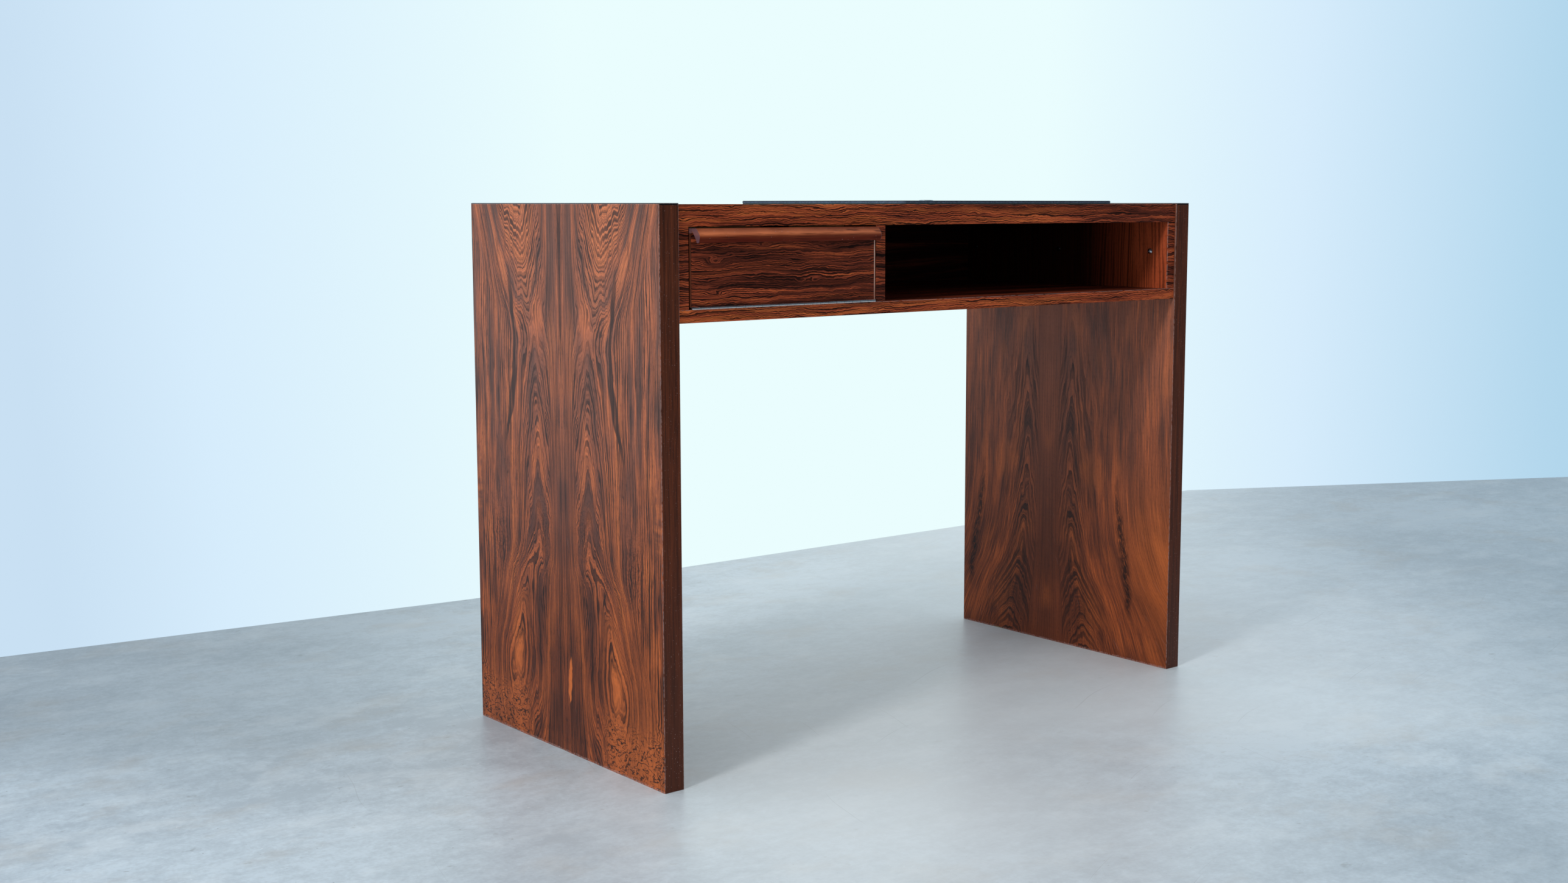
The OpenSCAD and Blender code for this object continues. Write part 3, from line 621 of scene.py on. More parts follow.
def striped(name, woods, seed, spacing, light, dim, eyes=(), rubbed=None):
    """A veneer of narrow wavy dark lines that run across, as on the flap and the case's fronts.

    light raises its ground, and dim is how dark its darker stretches are. An eye is a place where lines
    part: its x and z, its reach both ways and how far it lifts them. rubbed makes the number of 0 to 1
    that says where an arris is painted pale, partly as wear and partly as a painted highlight.
    """
    g = Finish(name)
    over = g.z + g.y
    field = over + g.sway(5, g.x / 75, over / 40, seed) + g.sway(1.9, g.x / 21, over / 10, seed + 1)
    field = field + g.sway(0.9, g.x / 10, over / 6, seed + 13) + g.sway(0.45, g.x / 5, over / 3, seed + 2)
    for place, height, wide, high, lift in eyes:
        field = field + g.spot((g.x, place, wide), (g.z, height, high)) * lift
    soft, line = rings(g, field, g.x * 1.2, spacing, seed + 3)
    fine = rings(g, field, g.x * 1.2, spacing * 0.4, seed + 5)[1]
    broad = g.noise(field / 8, g.x / 260, seed + 7, detail=3, rough=0.6)
    fibre = g.noise(over / 0.7, g.x / 30, seed + 8, detail=2)
    clusters = g.patches(0.48, 0.62, field / 6.5, g.x / 420, seed + 12, detail=3)
    open_pores = pores(g, over, g.x, seed + 9)
    # The ground is paler towards the left and darker towards the right, as painted light from the left
    tone = (broad - 0.5) * 2.4 + (fibre - 0.5) * 0.8 + light - g.x * 0.0004
    stops = ((0.05, woods.stripe_dark), (0.4, woods.stripe_middle), (0.7, woods.stripe_light))
    g.ground(g.ramp(tone, *stops, (1.0, woods.stripe_bright)))
    g.coat(woods.stripe_dark, soft * 0.8)
    for amount in (clusters * dim, fine * 0.45, line * 0.88, open_pores * 0.3):
        g.coat(woods.stripe_line, amount)
    # Pale arrises: partly wear, partly a painted highlight
    if rubbed is not None:
        g.coat(woods.wear_and_highlight, rubbed(g) * g.patches(0.36, 0.5, g.x / 7, g.z / 7, seed + 10) * 0.55)
    rough = 0.32 + g.noise(g.x / 50, over / 30, seed + 11) * 0.14
    return g.surface(rough, 1 - open_pores * 0.8, 0.03, IOR=1.2)


def plain_veneer(name, woods, along, seed, light, dull=0.0, deep=0.0):
    """Straighter veneer of the case's boards, with the grain along one axis.

    dull darkens it all over, and the last setting is how much painted shade darkens it towards the back.
    """
    g = Finish(name)
    run, over = g.axes(along)
    field = over + g.sway(20, over / 120, run / 640, seed) + g.sway(3, over / 26, run / 130, seed + 1)
    soft, line = rings(g, field, run, 5.5, seed + 2)
    fine = rings(g, field, run, 2.1, seed + 4)[1]
    broad = g.noise(field / 17, run / 500, seed + 6, detail=3, rough=0.6)
    fibre = g.noise(over / 0.8, run / 50, seed + 7, detail=2)
    open_pores = pores(g, over, run, seed + 8)
    tone = (broad - 0.5) * 2.6 + (fibre - 0.5) * 0.7 + light
    stops = ((0.05, woods.stripe_dark), (0.4, woods.stripe_middle), (0.8, woods.stripe_light))
    g.ground(g.ramp(tone, *stops))
    g.coat(woods.stripe_dark, soft * 0.7)
    for amount in (fine * 0.3, line * (0.6 - deep * 0.25), open_pores * 0.35, dull):
        g.coat(woods.stripe_line, amount)
    # Painted shade towards the back of the compartment
    if deep:
        inwards = g.y + g.sway(14, g.y / 30, seed + 10)
        g.coat(woods.stripe_line, g.step(inwards, SHADED_FROM, SHADED_TO) * deep)
    rough = 0.34 + g.noise(run / 60, over / 40, seed + 9) * 0.14
    return g.surface(rough, 1 - open_pores * 0.8, 0.03, IOR=1.3)


def solid_wood(name, woods, light, dark, worn_reach=0.0, along="z", seed=5.0):
    """Plain solid wood with fine straight grain, pale specks where it is knocked, and painted shade
    towards the foot.

    worn_reach is how far a panel's edge is rubbed in from its two arrises.
    """
    g = Finish(name)
    run, over = g.axes(along)
    field = over + g.sway(3, over / 30, run / 300, seed)
    grain = g.noise(field / 3.4, run / 210, seed + 1, detail=3, rough=0.6)
    fine = g.noise(field / 0.7, run / 30, seed + 2, detail=1)
    g.ground(g.ramp((grain - 0.5) * 2.4 + (fine - 0.5) * 1.4 + 0.5, (0.1, dark), (0.9, light)))
    # Painted shade, darker towards the foot
    g.coat(dark, g.step(g.z, 380, 40) * 0.5)
    specks = g.patches(0.77, 0.82, g.x / 1.6, g.y / 1.6, g.z / 1.6, detail=0)
    g.coat(woods.wear_and_highlight, specks * (g.step(g.z, 260, 20) * 0.5 + 0.5) * 0.8)
    if worn_reach:
        low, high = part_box("right_top_lipping")
        middle, half = (low.x + high.x) * 500, (high.x - low.x) * 500
        beside = abs(g.x - g.math("SIGN", g.x) * middle)
        rubbed = g.patches(0.42, 0.56, g.y / 2, g.z / 9, seed + 3)
        g.coat(woods.wear_and_highlight, g.step(beside, half - worn_reach, half - 0.1) * rubbed * 0.5)
    rough = 0.38 + g.noise(run / 40, over / 20, seed + 4) * 0.16
    return g.surface(rough, fine, 0.02, IOR=1.36)


def pull_finish(name, woods):
    """Red-brown solid wood with greyer end grain, a painted highlight above the nose and painted shade
    below it.
    """
    g = Finish(name)
    over = g.y - g.z
    field = over + g.sway(2.5, over / 16, g.x / 240, 2.0)
    grain = g.noise(field / 2.6, g.x / 190, 3.0, detail=3, rough=0.6)
    fine = g.noise(field / 0.6, g.x / 22, 4.0, detail=1)
    clouds = g.noise(g.x / 45, over / 14, 5.0)
    veins = g.patches(0.52, 0.68, field / 0.9, g.x / 60, 6.0, detail=3, rough=0.6)
    tone = (grain - 0.5) * 2.0 + (fine - 0.5) * 1.2 + (clouds - 0.5) * 1.2 + 0.5
    g.ground(g.ramp(tone, (0.1, woods.pull_wood_dark), (0.9, woods.pull_wood)))
    low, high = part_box("flap_pull")
    from_top = g.z - high.z * 1000
    # Painted highlight on the upper face and nose
    g.coat(woods.pull_painted_highlight, g.spot((from_top, -7.5, 4.5)) * (clouds * 0.5 + 0.35))
    # Painted shade below the nose
    g.coat(woods.pull_painted_shade, g.step(from_top, -6.5, -11.5) * 0.75)
    g.coat(woods.pull_vein, veins * 0.8)
    dents = g.patches(0.81, 0.84, g.x / 3.2, g.y / 1.5, g.z / 1.5, detail=0)
    g.coat(woods.wear_and_highlight, dents * 0.6)
    from_end = abs(g.x - (low.x + high.x) * 500) - ((high.x - low.x) / 2 - PULL_END) * 1000
    g.coat(woods.pull_end, g.step(from_end, -0.9, -0.1) * 0.8)
    return g.surface(0.32 + clouds * 0.16 + dents * 0.2, fine - dents, 0.02, IOR=1.18)


def raw_board(name, woods):
    """Raw chipped board, as the panels' cores show on their lower edges."""
    g = Finish(name)
    chips = g.noise(g.x / 2.4, g.y / 1.2, g.z / 1.2, detail=3, rough=0.7)
    large = g.noise(g.x / 9, g.y / 6, g.z / 5)
    tone = (chips - 0.5) * 2.2 + (large - 0.5) + 0.5
    glue, pale, darker_foot = shade(118, 88, 56), shade(206, 178, 136), shade(60, 46, 38)
    g.ground(g.ramp(tone, (0.1, glue), (0.55, woods.board), (0.95, pale)))
    # Darker within 5 mm of the floor
    g.coat(darker_foot, g.step(g.z, 5, 0.5) * 0.45)
    return g.surface(0.85, chips, 0.3)


def raw_wood(name, woods, along):
    """Planed pale wood without finish."""
    g = Finish(name)
    run, over = g.axes(along)
    grain = g.noise(over / 1.6, run / 90, 2.0, detail=3)
    g.ground(g.ramp((grain - 0.5) * 2 + 0.5, (0.1, shade(140, 110, 74)), (0.9, woods.raw_wood)))
    return g.surface(0.7 + grain * 0.1, grain, 0.05)


def metal(name, shown, rough, along="x", mirror=1.0, deep=0.0):
    """Metal with fine wear and a little tarnish.

    mirror is how much it mirrors as bare metal does. The last setting is how much painted shade darkens it
    towards the back.
    """
    g = Finish(name)
    run, over = g.axes(along)
    scratches = g.noise(over / 0.25, run / 7, 1.0, detail=2)
    tarnish = g.patches(0.5, 0.68, g.x / 7, g.y / 5, g.z / 5, detail=3)
    g.ground(shown)
    g.coat(tuple(v * 0.55 for v in shown), tarnish * 0.5)
    # Painted shade towards the back of the compartment
    if deep:
        g.coat(shade(30, 22, 18), g.step(g.y, SHADED_FROM, SHADED_TO) * deep)
    return g.surface(rough + scratches * 0.12 + tarnish * 0.16, scratches, 0.01, Metallic=mirror)


def moulded(name, shown, rough):
    """Dark moulded plastic or ferrite with a fine matt grain."""
    g = Finish(name)
    grain = g.noise(g.x / 0.4, g.y / 0.4, g.z / 0.4, detail=2)
    g.ground(shown)
    g.coat(shade(112, 102, 94), g.patches(0.55, 0.75, g.x / 3, g.y / 3, g.z / 3, detail=3) * 0.18)
    return g.surface(rough + grain * 0.15, grain, 0.03)


def leather_finish(name, looks):
    """Smooth dark leather with pebbled grain, a little rubbed on top, with a painted pale blue reflection
    on its sides.
    """
    g = Finish(name)
    place = g.node("ShaderNodeCombineXYZ", {0: g.x, 1: g.y, 2: g.z}).outputs[0]
    values = {"Vector": place, "Scale": 0.85}
    cells = g.node("ShaderNodeTexVoronoi", values, feature="DISTANCE_TO_EDGE").outputs[0]
    grain = g.step(Wire(g, cells), 0.0, 0.28)
    fine = g.noise(g.x / 0.5, g.y / 0.5, g.z / 0.5, detail=2)
    handled = g.noise(g.x / 60, g.y / 50, g.z / 20, detail=3)
    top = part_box("pad_leather")[1].z * 1000
    side = g.step(g.z, top - 0.6, top - 1.7)
    rubbed = g.patches(0.46, 0.62, g.x / 5, g.y / 5, g.z / 2, detail=2)
    g.ground(looks.leather)
    g.coat(looks.leather_wear_and_reflection, g.step(handled, 0.5, 0.72) * 0.1)
    # Painted pale blue reflection on the pad's sides, patchy where rubbed
    g.coat(looks.leather_wear_and_reflection, side * (rubbed * 0.36 + 0.6))
    # Painted shade in the creases of the grain
    g.coat(shade(16, 18, 22), (1 - grain) * 0.6)
    return g.surface(0.4 + handled * 0.2 - grain * 0.06, grain * 0.7 + fine * 0.3, 0.07)


def felt_finish(name, looks):
    """Felt with short matted fibres."""
    g = Finish(name)
    fibres = g.noise(g.x / 0.35, g.y / 0.35, g.z / 0.35, detail=3, rough=0.7)
    matted = g.noise(g.x / 12, g.y / 9, g.z / 9, detail=3)
    tone = (fibres - 0.5) * 1.6 + (matted - 0.5) + 0.5
    g.ground(g.ramp(tone, (0.1, tuple(v * 0.5 for v in looks.felt)), (0.9, looks.felt)))
    return g.surface(0.95, fibres, 0.25, Sheen_Weight=0.4, Sheen_Roughness=0.5)


def concrete(name, studio):
    """Polished concrete with soft stains, fine grit and a few scratches, with painted light round the desk
    and painted shade at both sides.
    """
    g = Finish(name)
    clouds = g.noise(g.x / 620, g.y / 480, 1.0, detail=5, rough=0.58)
    spots = g.noise(g.x / 60, g.y / 48, 2.0, detail=4, rough=0.62)
    grit = g.noise(g.x / 5, g.y / 5, 3.0, detail=2)
    mottle = g.noise(g.x / 15, g.y / 13, 4.0, detail=3, rough=0.6)
    tone = (clouds - 0.5) * 2.8 + (spots - 0.5) * 1.9 + (mottle - 0.5) * 1.3 + (grit - 0.5) * 0.9 + 0.55
    bright = tuple(min(1, v * 1.12) for v in studio.floor)
    g.ground(g.ramp(tone, (0.05, studio.stain), (0.7, studio.floor), (1.0, bright)))

    # Marks, brown stains, pale veils and specks
    marks = g.patches(0.66, 0.76, g.x / 34, g.y / 26, 7.0, detail=3, rough=0.6)
    brown = g.patches(0.5, 0.72, g.x / 190, g.y / 150, 21.0, detail=4, rough=0.62)
    veils = g.patches(0.5, 0.66, g.x / 150, g.y / 110, 22.0, detail=5, rough=0.68)
    specks = g.noise(g.x / 4.5, g.y / 4.5, 23.0, detail=0)
    g.coat(shade(128, 134, 138), marks * 0.5)
    g.coat(shade(182, 170, 156), brown * 0.34)
    g.coat(shade(226, 236, 244), veils * 0.34)
    g.coat(shade(240, 244, 248), g.step(specks, 0.83, 0.87) * 0.5)
    g.coat(shade(84, 84, 86), g.step(specks, 0.15, 0.12) * 0.5)

    # Painted light round the desk, painted shade at both sides and a painted shadow at the far left
    across = g.x * RIGHT[0] + g.y * RIGHT[1]
    away = g.x * AWAY[0] + g.y * AWAY[1]
    painted_floor_shade = shade(90, 104, 114)
    g.coat(shade(240, 249, 255), g.spot((across, 400, 640)) * g.step(away, -420, -100) * 0.7)
    g.coat(shade(244, 250, 255), g.spot((across, 60, 430), (away, -520, 460)) * 0.72)
    g.coat(shade(60, 74, 82), g.step(across, -360, -1000) * g.step(away, -640, -200) * 0.42)
    g.coat(painted_floor_shade, g.step(across, 760, 1340) * 0.32)
    g.coat(painted_floor_shade, g.step(across, 330, 900) * g.step(away, -260, -900) * 0.32)

    # Scratches in three directions
    for turn, seed in ((0.35, 11.0), (1.3, 12.0), (2.5, 13.0)):
        along = g.x * math.cos(turn) + g.y * math.sin(turn)
        over = g.y * math.cos(turn) - g.x * math.sin(turn) + g.sway(26, along / 260, seed)
        scratches = g.patches(0.83, 0.87, along / 330, over / 2.1, seed, detail=0)
        g.coat(shade(136, 140, 144), scratches * 0.26)
    return g.surface(0.3 + spots * 0.16, spots * 0.6 + grit * 0.4, 0.15)


# Meshes


def block(low, high, rounding=0.0, segments=3, edges=None):
    """A box between two corners. Its edges, or those that a test picks, are rounded."""
    mesh = bmesh.new()
    low, high = Vector(low), Vector(high)
    place = Matrix.Translation((low + high) / 2) @ Matrix.Diagonal((*(high - low), 1))
    bmesh.ops.create_cube(mesh, size=1, matrix=place)
    if rounding:
        picked = [edge for edge in mesh.edges if edges is None or edges(middle(edge))]
        soften(mesh, picked, rounding, segments)
    return mesh


def middle(edge):
    """The middle of an edge."""
    return (edge.verts[0].co + edge.verts[1].co) / 2


def soften(mesh, edges, rounding, segments=3):
    """Rounds some edges, and shades only the round strips smooth."""
    made = bmesh.ops.bevel(
        mesh,
        geom=edges,
        offset=rounding,
        offset_type="OFFSET",
        segments=segments,
        profile=0.5,
        affect="EDGES",
        clamp_overlap=True,
        material=-1,
    )
    for face in made["faces"]:
        face.smooth = True


def joined(*meshes):
    """Several meshes as one."""
    whole = meshes[0]
    for other in meshes[1:]:
        data = bpy.data.meshes.new("part")
        other.to_mesh(data)
        other.free()
        whole.from_mesh(data)
        bpy.data.meshes.remove(data)
    return whole


def drawn_out(mesh, faces, way):
    """Extrudes some faces by a vector."""
    made = bmesh.ops.extrude_face_region(mesh, geom=faces)
    moved = [part for part in made["geom"] if isinstance(part, bmesh.types.BMVert)]
    bmesh.ops.translate(mesh, verts=moved, vec=way)


def piece(name, mesh, material, body, slot, *nodes):
    """Makes an object of a mesh, which rides on a body and stands for some of the CAD's nodes."""
    bmesh.ops.recalc_face_normals(mesh, faces=mesh.faces)
    data = bpy.data.meshes.new(name)
    mesh.to_mesh(data)
    mesh.free()
    data.materials.append(material)
    made = bpy.data.objects.new(name, data)
    bpy.context.scene.collection.objects.link(made)
    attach(made, body)
    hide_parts(*nodes)
    return made


def dress(material, *nodes):
    """Gives nodes of the CAD a material."""
    for node in nodes:
        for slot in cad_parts[node].material_slots:
            slot.material = material


def chipped_sheet(low, high, chip, seed):
    """A standing sheet of veneer between two corners, with its lower edge broken away in places."""
    mesh = bmesh.new()
    bmesh.ops.create_grid(mesh, x_segments=160, y_segments=2, size=0.5)
    stand = Matrix.Rotation(math.pi / 2, 4, "Z") @ Matrix.Rotation(math.pi / 2, 4, "X")
    size = Matrix.Diagonal((1, high.y - low.y, high.z - low.z, 1))
    place = Matrix.Translation((low.x, (low.y + high.y) / 2, (low.z + high.z) / 2))
    bmesh.ops.transform(mesh, matrix=place @ size @ stand, verts=mesh.verts)
    for vert in mesh.verts:
        if vert.co.z < low.z + TOUCH:
            broad = terrain.noise(Vector((vert.co.y * 24, seed, 0)))
            fine = terrain.noise(Vector((vert.co.y * 190, seed, 4)))
            vert.co.z += chip * (max(0, broad - 0.12) * 2 + max(0, fine) * 0.3)
        elif vert.co.z < high.z - TOUCH:
            vert.co.z = low.z + CHIPPED
    drawn_out(mesh, mesh.faces[:], (high.x - low.x, 0, 0))
    return mesh


def turned(profile, centre, steps=48):
    """A closed shape spun round the z axis from (radius, height) points that start and end on it."""
    mesh = bmesh.new()
    verts = [mesh.verts.new((centre[0] + radius, centre[1], height)) for radius, height in profile]
    edges = [mesh.edges.new(pair) for pair in zip(verts, verts[1:])]
    about = {"cent": (*centre, 0), "axis": (0, 0, 1), "angle": math.tau}
    bmesh.ops.spin(mesh, geom=verts + edges, steps=steps, use_merge=True, **about)
    bmesh.ops.remove_doubles(mesh, verts=mesh.verts, dist=1e-6)
    return mesh


# Operators


class DESK_OT_panel_veneers(bpy.types.Operator):
    """Lays the veneers on both faces of the two side panels."""

    bl_idname = "desk.panel_veneers"
    bl_label = "Panel veneers"

    def execute(self, context):
        looks = context.scene.desk_looks
        finishes = {
            "outer": shared("outer_veneer", outer_veneer, looks.woods),
            "inner": shared("inner_veneer", inner_veneer, looks.woods),
        }
        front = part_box("left_front_lipping")[0].y + PROUD
        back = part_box("left_back_lipping")[1].y - PROUD
        for number, side in enumerate(("left", "right")):
            for kind, finish in finishes.items():
                node = side + "_" + kind + "_veneer"
                low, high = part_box(node)
                low.y, high.y, high.z = front, back, PANEL_TOP - CAP
                chip = looks.shapes.chip * (1 if node == "right_inner_veneer" else 0.35)
                seed = number * 3.1 + (7.7 if kind == "inner" else 0)
                sheet = chipped_sheet(low, high, chip, seed)
                piece(node + "_sheet", sheet, finish, "case", "veneer", node)
        dress(shared("raw_board", raw_board, looks.woods), "left_core", "right_core")
        return {"FINISHED"}


class DESK_OT_panel_edges(bpy.types.Operator):
    """Glues the solid edges on the panels' fronts, backs and tops."""

    bl_idname = "desk.panel_edges"
    bl_label = "Panel edges"

    def execute(self, context):
        looks = context.scene.desk_looks
        woods, rounding = looks.woods, looks.shapes.edge_rounding
        plain, plain_dark = woods.edge_wood, woods.edge_wood_dark
        top, top_dark = woods.top_edge, woods.top_edge_dark
        upright = shared("edge_wood", solid_wood, woods, plain, plain_dark, worn_reach=1.2)
        level = shared("top_edge_wood", solid_wood, woods, top, top_dark, along="y", seed=9.0)
        low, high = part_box("left_outer_veneer")
        skin = high.x - low.x
        for side in ("left", "right"):
            low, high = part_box(side + "_front_lipping")
            stem = block((low.x + skin, low.y + PROUD, low.z), (high.x - skin, high.y, high.z))
            strip = (high.x, low.y + CAP, high.z)
            face = block(low, strip, rounding, 3, lambda at: at.y < low.y + TOUCH)
            self.glue(side + "_front", stem, face, upright)
            low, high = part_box(side + "_back_lipping")
            stem = block((low.x + skin, low.y, low.z), (high.x - skin, high.y - PROUD, high.z))
            strip = (low.x, high.y - CAP, low.z)
            face = block(strip, high, rounding, 3, lambda at: at.y > high.y - TOUCH)
            self.glue(side + "_back", stem, face, upright)
            low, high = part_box(side + "_top_lipping")
            room = Vector((skin, 2 * PROUD, 0))
            stem = block(low + room, high - room - Vector((0, 0, PROUD)))
            strip = (low.x, low.y, high.z - CAP)
            face = block(strip, high, rounding, 3, lambda at: at.z > high.z - TOUCH)
            self.glue(side + "_top", stem, face, level)
        return {"FINISHED"}

    def glue(self, place, stem, face, wood):
        """Makes one solid edge of its stem between the veneers and its wider face."""
        piece(place + "_edge", joined(stem, face), wood, "case", "solid_wood", place + "_lipping")


class DESK_OT_case_boards(bpy.types.Operator):
    """Veneers the boards of the case."""

    bl_idname = "desk.case_boards"
    bl_label = "Case boards"

    def execute(self, context):
        woods = context.scene.desk_looks.woods
        top = shared("top_veneer", plain_veneer, woods, "x", seed=61.0, light=0.36, dull=0.12)
        bottom = shared("bottom_veneer", plain_veneer, woods, "x", seed=71.0, light=0.3)
        back = shared("back_veneer", plain_veneer, woods, "x", seed=81.0, light=0.1, dull=0.6)
        # One veneer in two copies: the right case side painted lighter, with painted shade towards the
        # back, and the left case side and divider painted darker, as shade
        painted_light_side = shared("side_veneer", plain_veneer, woods, "z", seed=91.0, light=1.3, deep=0.93)
        painted_shade_side = shared("dark_side_veneer", plain_veneer, woods, "z", seed=96.0, light=0.3)
        dress(top, "top_board")
        dress(bottom, "bottom_board")
        dress(back, "back_board")
        dress(painted_light_side, "right_case_side")
        dress(painted_shade_side, "left_case_side", "divider")
        return {"FINISHED"}


class DESK_OT_case_bands(bpy.types.Operator):
    """Lays the striped bands on the case's front edges."""

    bl_idname = "desk.case_bands"
    bl_label = "Case bands"

    def execute(self, context):
        looks = context.scene.desk_looks
        woods = looks.woods
        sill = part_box("bottom_edge_band")[1].z * 1000
        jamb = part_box("right_side_band")[0].x * 1000

        # The sill's and jamb's arrises are painted pale, partly as wear and partly as a painted highlight
        def highlit_and_rubbed_sill(g):
            return g.step(g.z, sill - 1.1, sill - 0.3)

        def highlit_and_rubbed_jamb(g):
            return g.step(g.x, jamb + 1.2, jamb + 0.5)

        top = {"seed": 17.0, "spacing": 2.4, "light": 0.7, "dim": 0.42}
        bottom = {"seed": 27.0, "spacing": 2.5, "light": 0.77, "dim": 0.36, "rubbed": highlit_and_rubbed_sill}
        stile = {"seed": 37.0, "spacing": 2.5, "light": 0.34, "dim": 0.6}
        right = {"seed": 39.0, "spacing": 2.5, "light": 0.7, "dim": 0.5, "rubbed": highlit_and_rubbed_jamb}
        for name, wood, settings in (
            ("top_edge_band", "top_band_veneer", top),
            ("bottom_edge_band", "bottom_band_veneer", bottom),
            ("left_side_band", "stile_veneer", stile),
            ("divider_band", "stile_veneer", stile),
            ("right_side_band", "right_stile_veneer", right),
        ):
            finish = shared(wood, striped, woods, **settings)
            low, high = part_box(name)
            strip = block(low, high, looks.shapes.band_rounding, 2, lambda at: at.y < low.y + TOUCH)
            piece(name + "_strip", strip, finish, "case", "veneer", name)
        return {"FINISHED"}


class DESK_OT_flap(bpy.types.Operator):
    """Veneers the flap and gives it its side edges."""

    bl_idname = "desk.flap"
    bl_label = "Flap"

    def execute(self, context):
        looks = context.scene.desk_looks
        woods = looks.woods
        eyes = [(-414, 665, 17, 5, 8), (-413, 626, 13, 4, 5), (-276, 638.6, 9, 3.5, 5)]
        eyes += [(-254, 640, 9, 3, 4), (-333, 685, 14, 4, 4), (-233, 683, 16, 4, 4), (-220, 640, 30, 6, 5)]
        settings = {"seed": 47.0, "spacing": 2.5, "light": 0.36, "dim": 0.55, "eyes": eyes}
        dress(shared("flap_veneer", striped, woods, **settings), "flap_panel")
        # The right edge is painted pale: partly a rubbed arris, partly a painted highlight
        pale, pale_dark = woods.flap_edge_wear_and_highlight, woods.pull_wood
        plain, plain_dark = woods.edge_wood, woods.edge_wood_dark
        left = shared("flap_dark_edge", solid_wood, woods, plain, plain_dark, seed=16.0)
        right = shared("flap_edge_wood", solid_wood, woods, pale, pale_dark, seed=15.0)
        for name, finish in (("flap_left_lipping", left), ("flap_right_lipping", right)):
            strip = block(*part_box(name), looks.shapes.eased, 2)
            piece(name + "_strip", strip, finish, "flap", "pull_wood", name)
        return {"FINISHED"}


class DESK_OT_pull(bpy.types.Operator):
    """Shapes the flap's solid pull, with its hooked section."""

    bl_idname = "desk.pull"
    bl_label = "Pull"

    def execute(self, context):
        looks = context.scene.desk_looks
        shapes = looks.shapes
        low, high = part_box("flap_pull")
        face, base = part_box("flap_panel")[0].y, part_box("flap_panel")[1].z
        left, right = low.x + PULL_END, high.x - PULL_END

        def at(out, up):
            """A point of the section, in millimetres before the flap's face and over the pull's top."""
            return Vector((left, face - out / 1000, high.z + up / 1000))

        top, nose, lip, heel = (9.3, 0), (17.4, -9), (14.7, -18), (10.7, -18)
        radius, centre_out, centre_up = 40, -26.3, -33.1
        turns = [math.radians(degrees) for degrees in range(27, 49, 3)]
        hollow = [(centre_out + radius * math.cos(a), centre_up + radius * math.sin(a)) for a in turns]
        section = [(0, 0), top, nose, lip, heel, *hollow, (0, -3)]
        mesh = bmesh.new()
        start = mesh.faces.new([mesh.verts.new(at(*point)) for point in section])
        drawn_out(mesh, [start], (right - left, 0, 0))
        bmesh.ops.recalc_face_normals(mesh, faces=mesh.faces)

        corners = ((top, shapes.top_rounding), (nose, shapes.nose_rounding))
        corners += ((lip, shapes.lip_rounding), (heel, shapes.heel_rounding))
        for corner, rounding in corners:
            near = [e for e in mesh.edges if (middle(e).yz - at(*corner).yz).length < TOUCH]
            long = [e for e in near if e.calc_length() > (right - left) / 2]
            soften(mesh, long, rounding, 4)
        ends = [e for e in mesh.edges if min(abs(middle(e).x - left), abs(middle(e).x - right)) < TOUCH]
        soften(mesh, [e for e in ends if middle(e).y < face - 0.0005], shapes.end_rounding, 2)

        def at_back(place):
            """Whether an edge lies along the top and behind the flap's face."""
            return place.z > high.z - TOUCH and place.y > face + 0.001

        cap = block((low.x, face, base), high, shapes.end_rounding, 2, at_back)
        finish = shared("pull_finish", pull_finish, looks.woods)
        piece("flap_pull_bar", joined(mesh, cap), finish, "flap", "pull_wood", "flap_pull")
        return {"FINISHED"}


class DESK_OT_hinge(bpy.types.Operator):
    """Plates the piano hinge and its screws."""

    bl_idname = "desk.hinge"
    bl_label = "Hinge"

    def execute(self, context):
        # The hinge's near-white matt colour is a painted reflection of its plating
        plating = shared("nickel", metal, context.scene.desk_looks.fittings.hinge, rough=0.36, mirror=0.0)
        dress(plating, "hinge_case_leaf", "hinge_flap_leaf", "hinge_pin")
        dress(plating, "hinge_case_screws", "hinge_flap_screws")
        return {"FINISHED"}


class DESK_OT_fixings(bpy.types.Operator):
    """Finishes the bolts, nuts, dowels, stop rails and the magnetic catch."""

    bl_idname = "desk.fixings"
    bl_label = "Fixings"

    def execute(self, context):
        looks = context.scene.desk_looks
        fittings = looks.fittings
        # The bolts get painted shade towards the back of the compartment
        bolts = shared("bolt_nickel", metal, fittings.nickel, rough=0.14, along="z", deep=0.9)
        dress(bolts, "left_fixing_bolts", "right_fixing_bolts")
        steel = shared("zinc_steel", metal, fittings.steel, rough=0.32)
        dress(steel, "left_insert_nuts", "right_insert_nuts", "stop_rail_screws", "catch_screws")
        dress(steel, "catch_pole_plates", "strike_plate", "strike_screws")
        dress(shared("catch_plastic", moulded, fittings.plastic, rough=0.42), "catch_body")
        dress(shared("ferrite", moulded, fittings.magnet, rough=0.6), "catch_magnet")
        dress(shared("rail_wood", raw_wood, looks.woods, "x"), "left_stop_rail", "right_stop_rail")
        dress(shared("dowel_wood", raw_wood, looks.woods, "z"), "case_dowels", "pull_dowels")
        dress(shared("back_dowel_wood", raw_wood, looks.woods, "y"), "back_dowels")
        return {"FINISHED"}


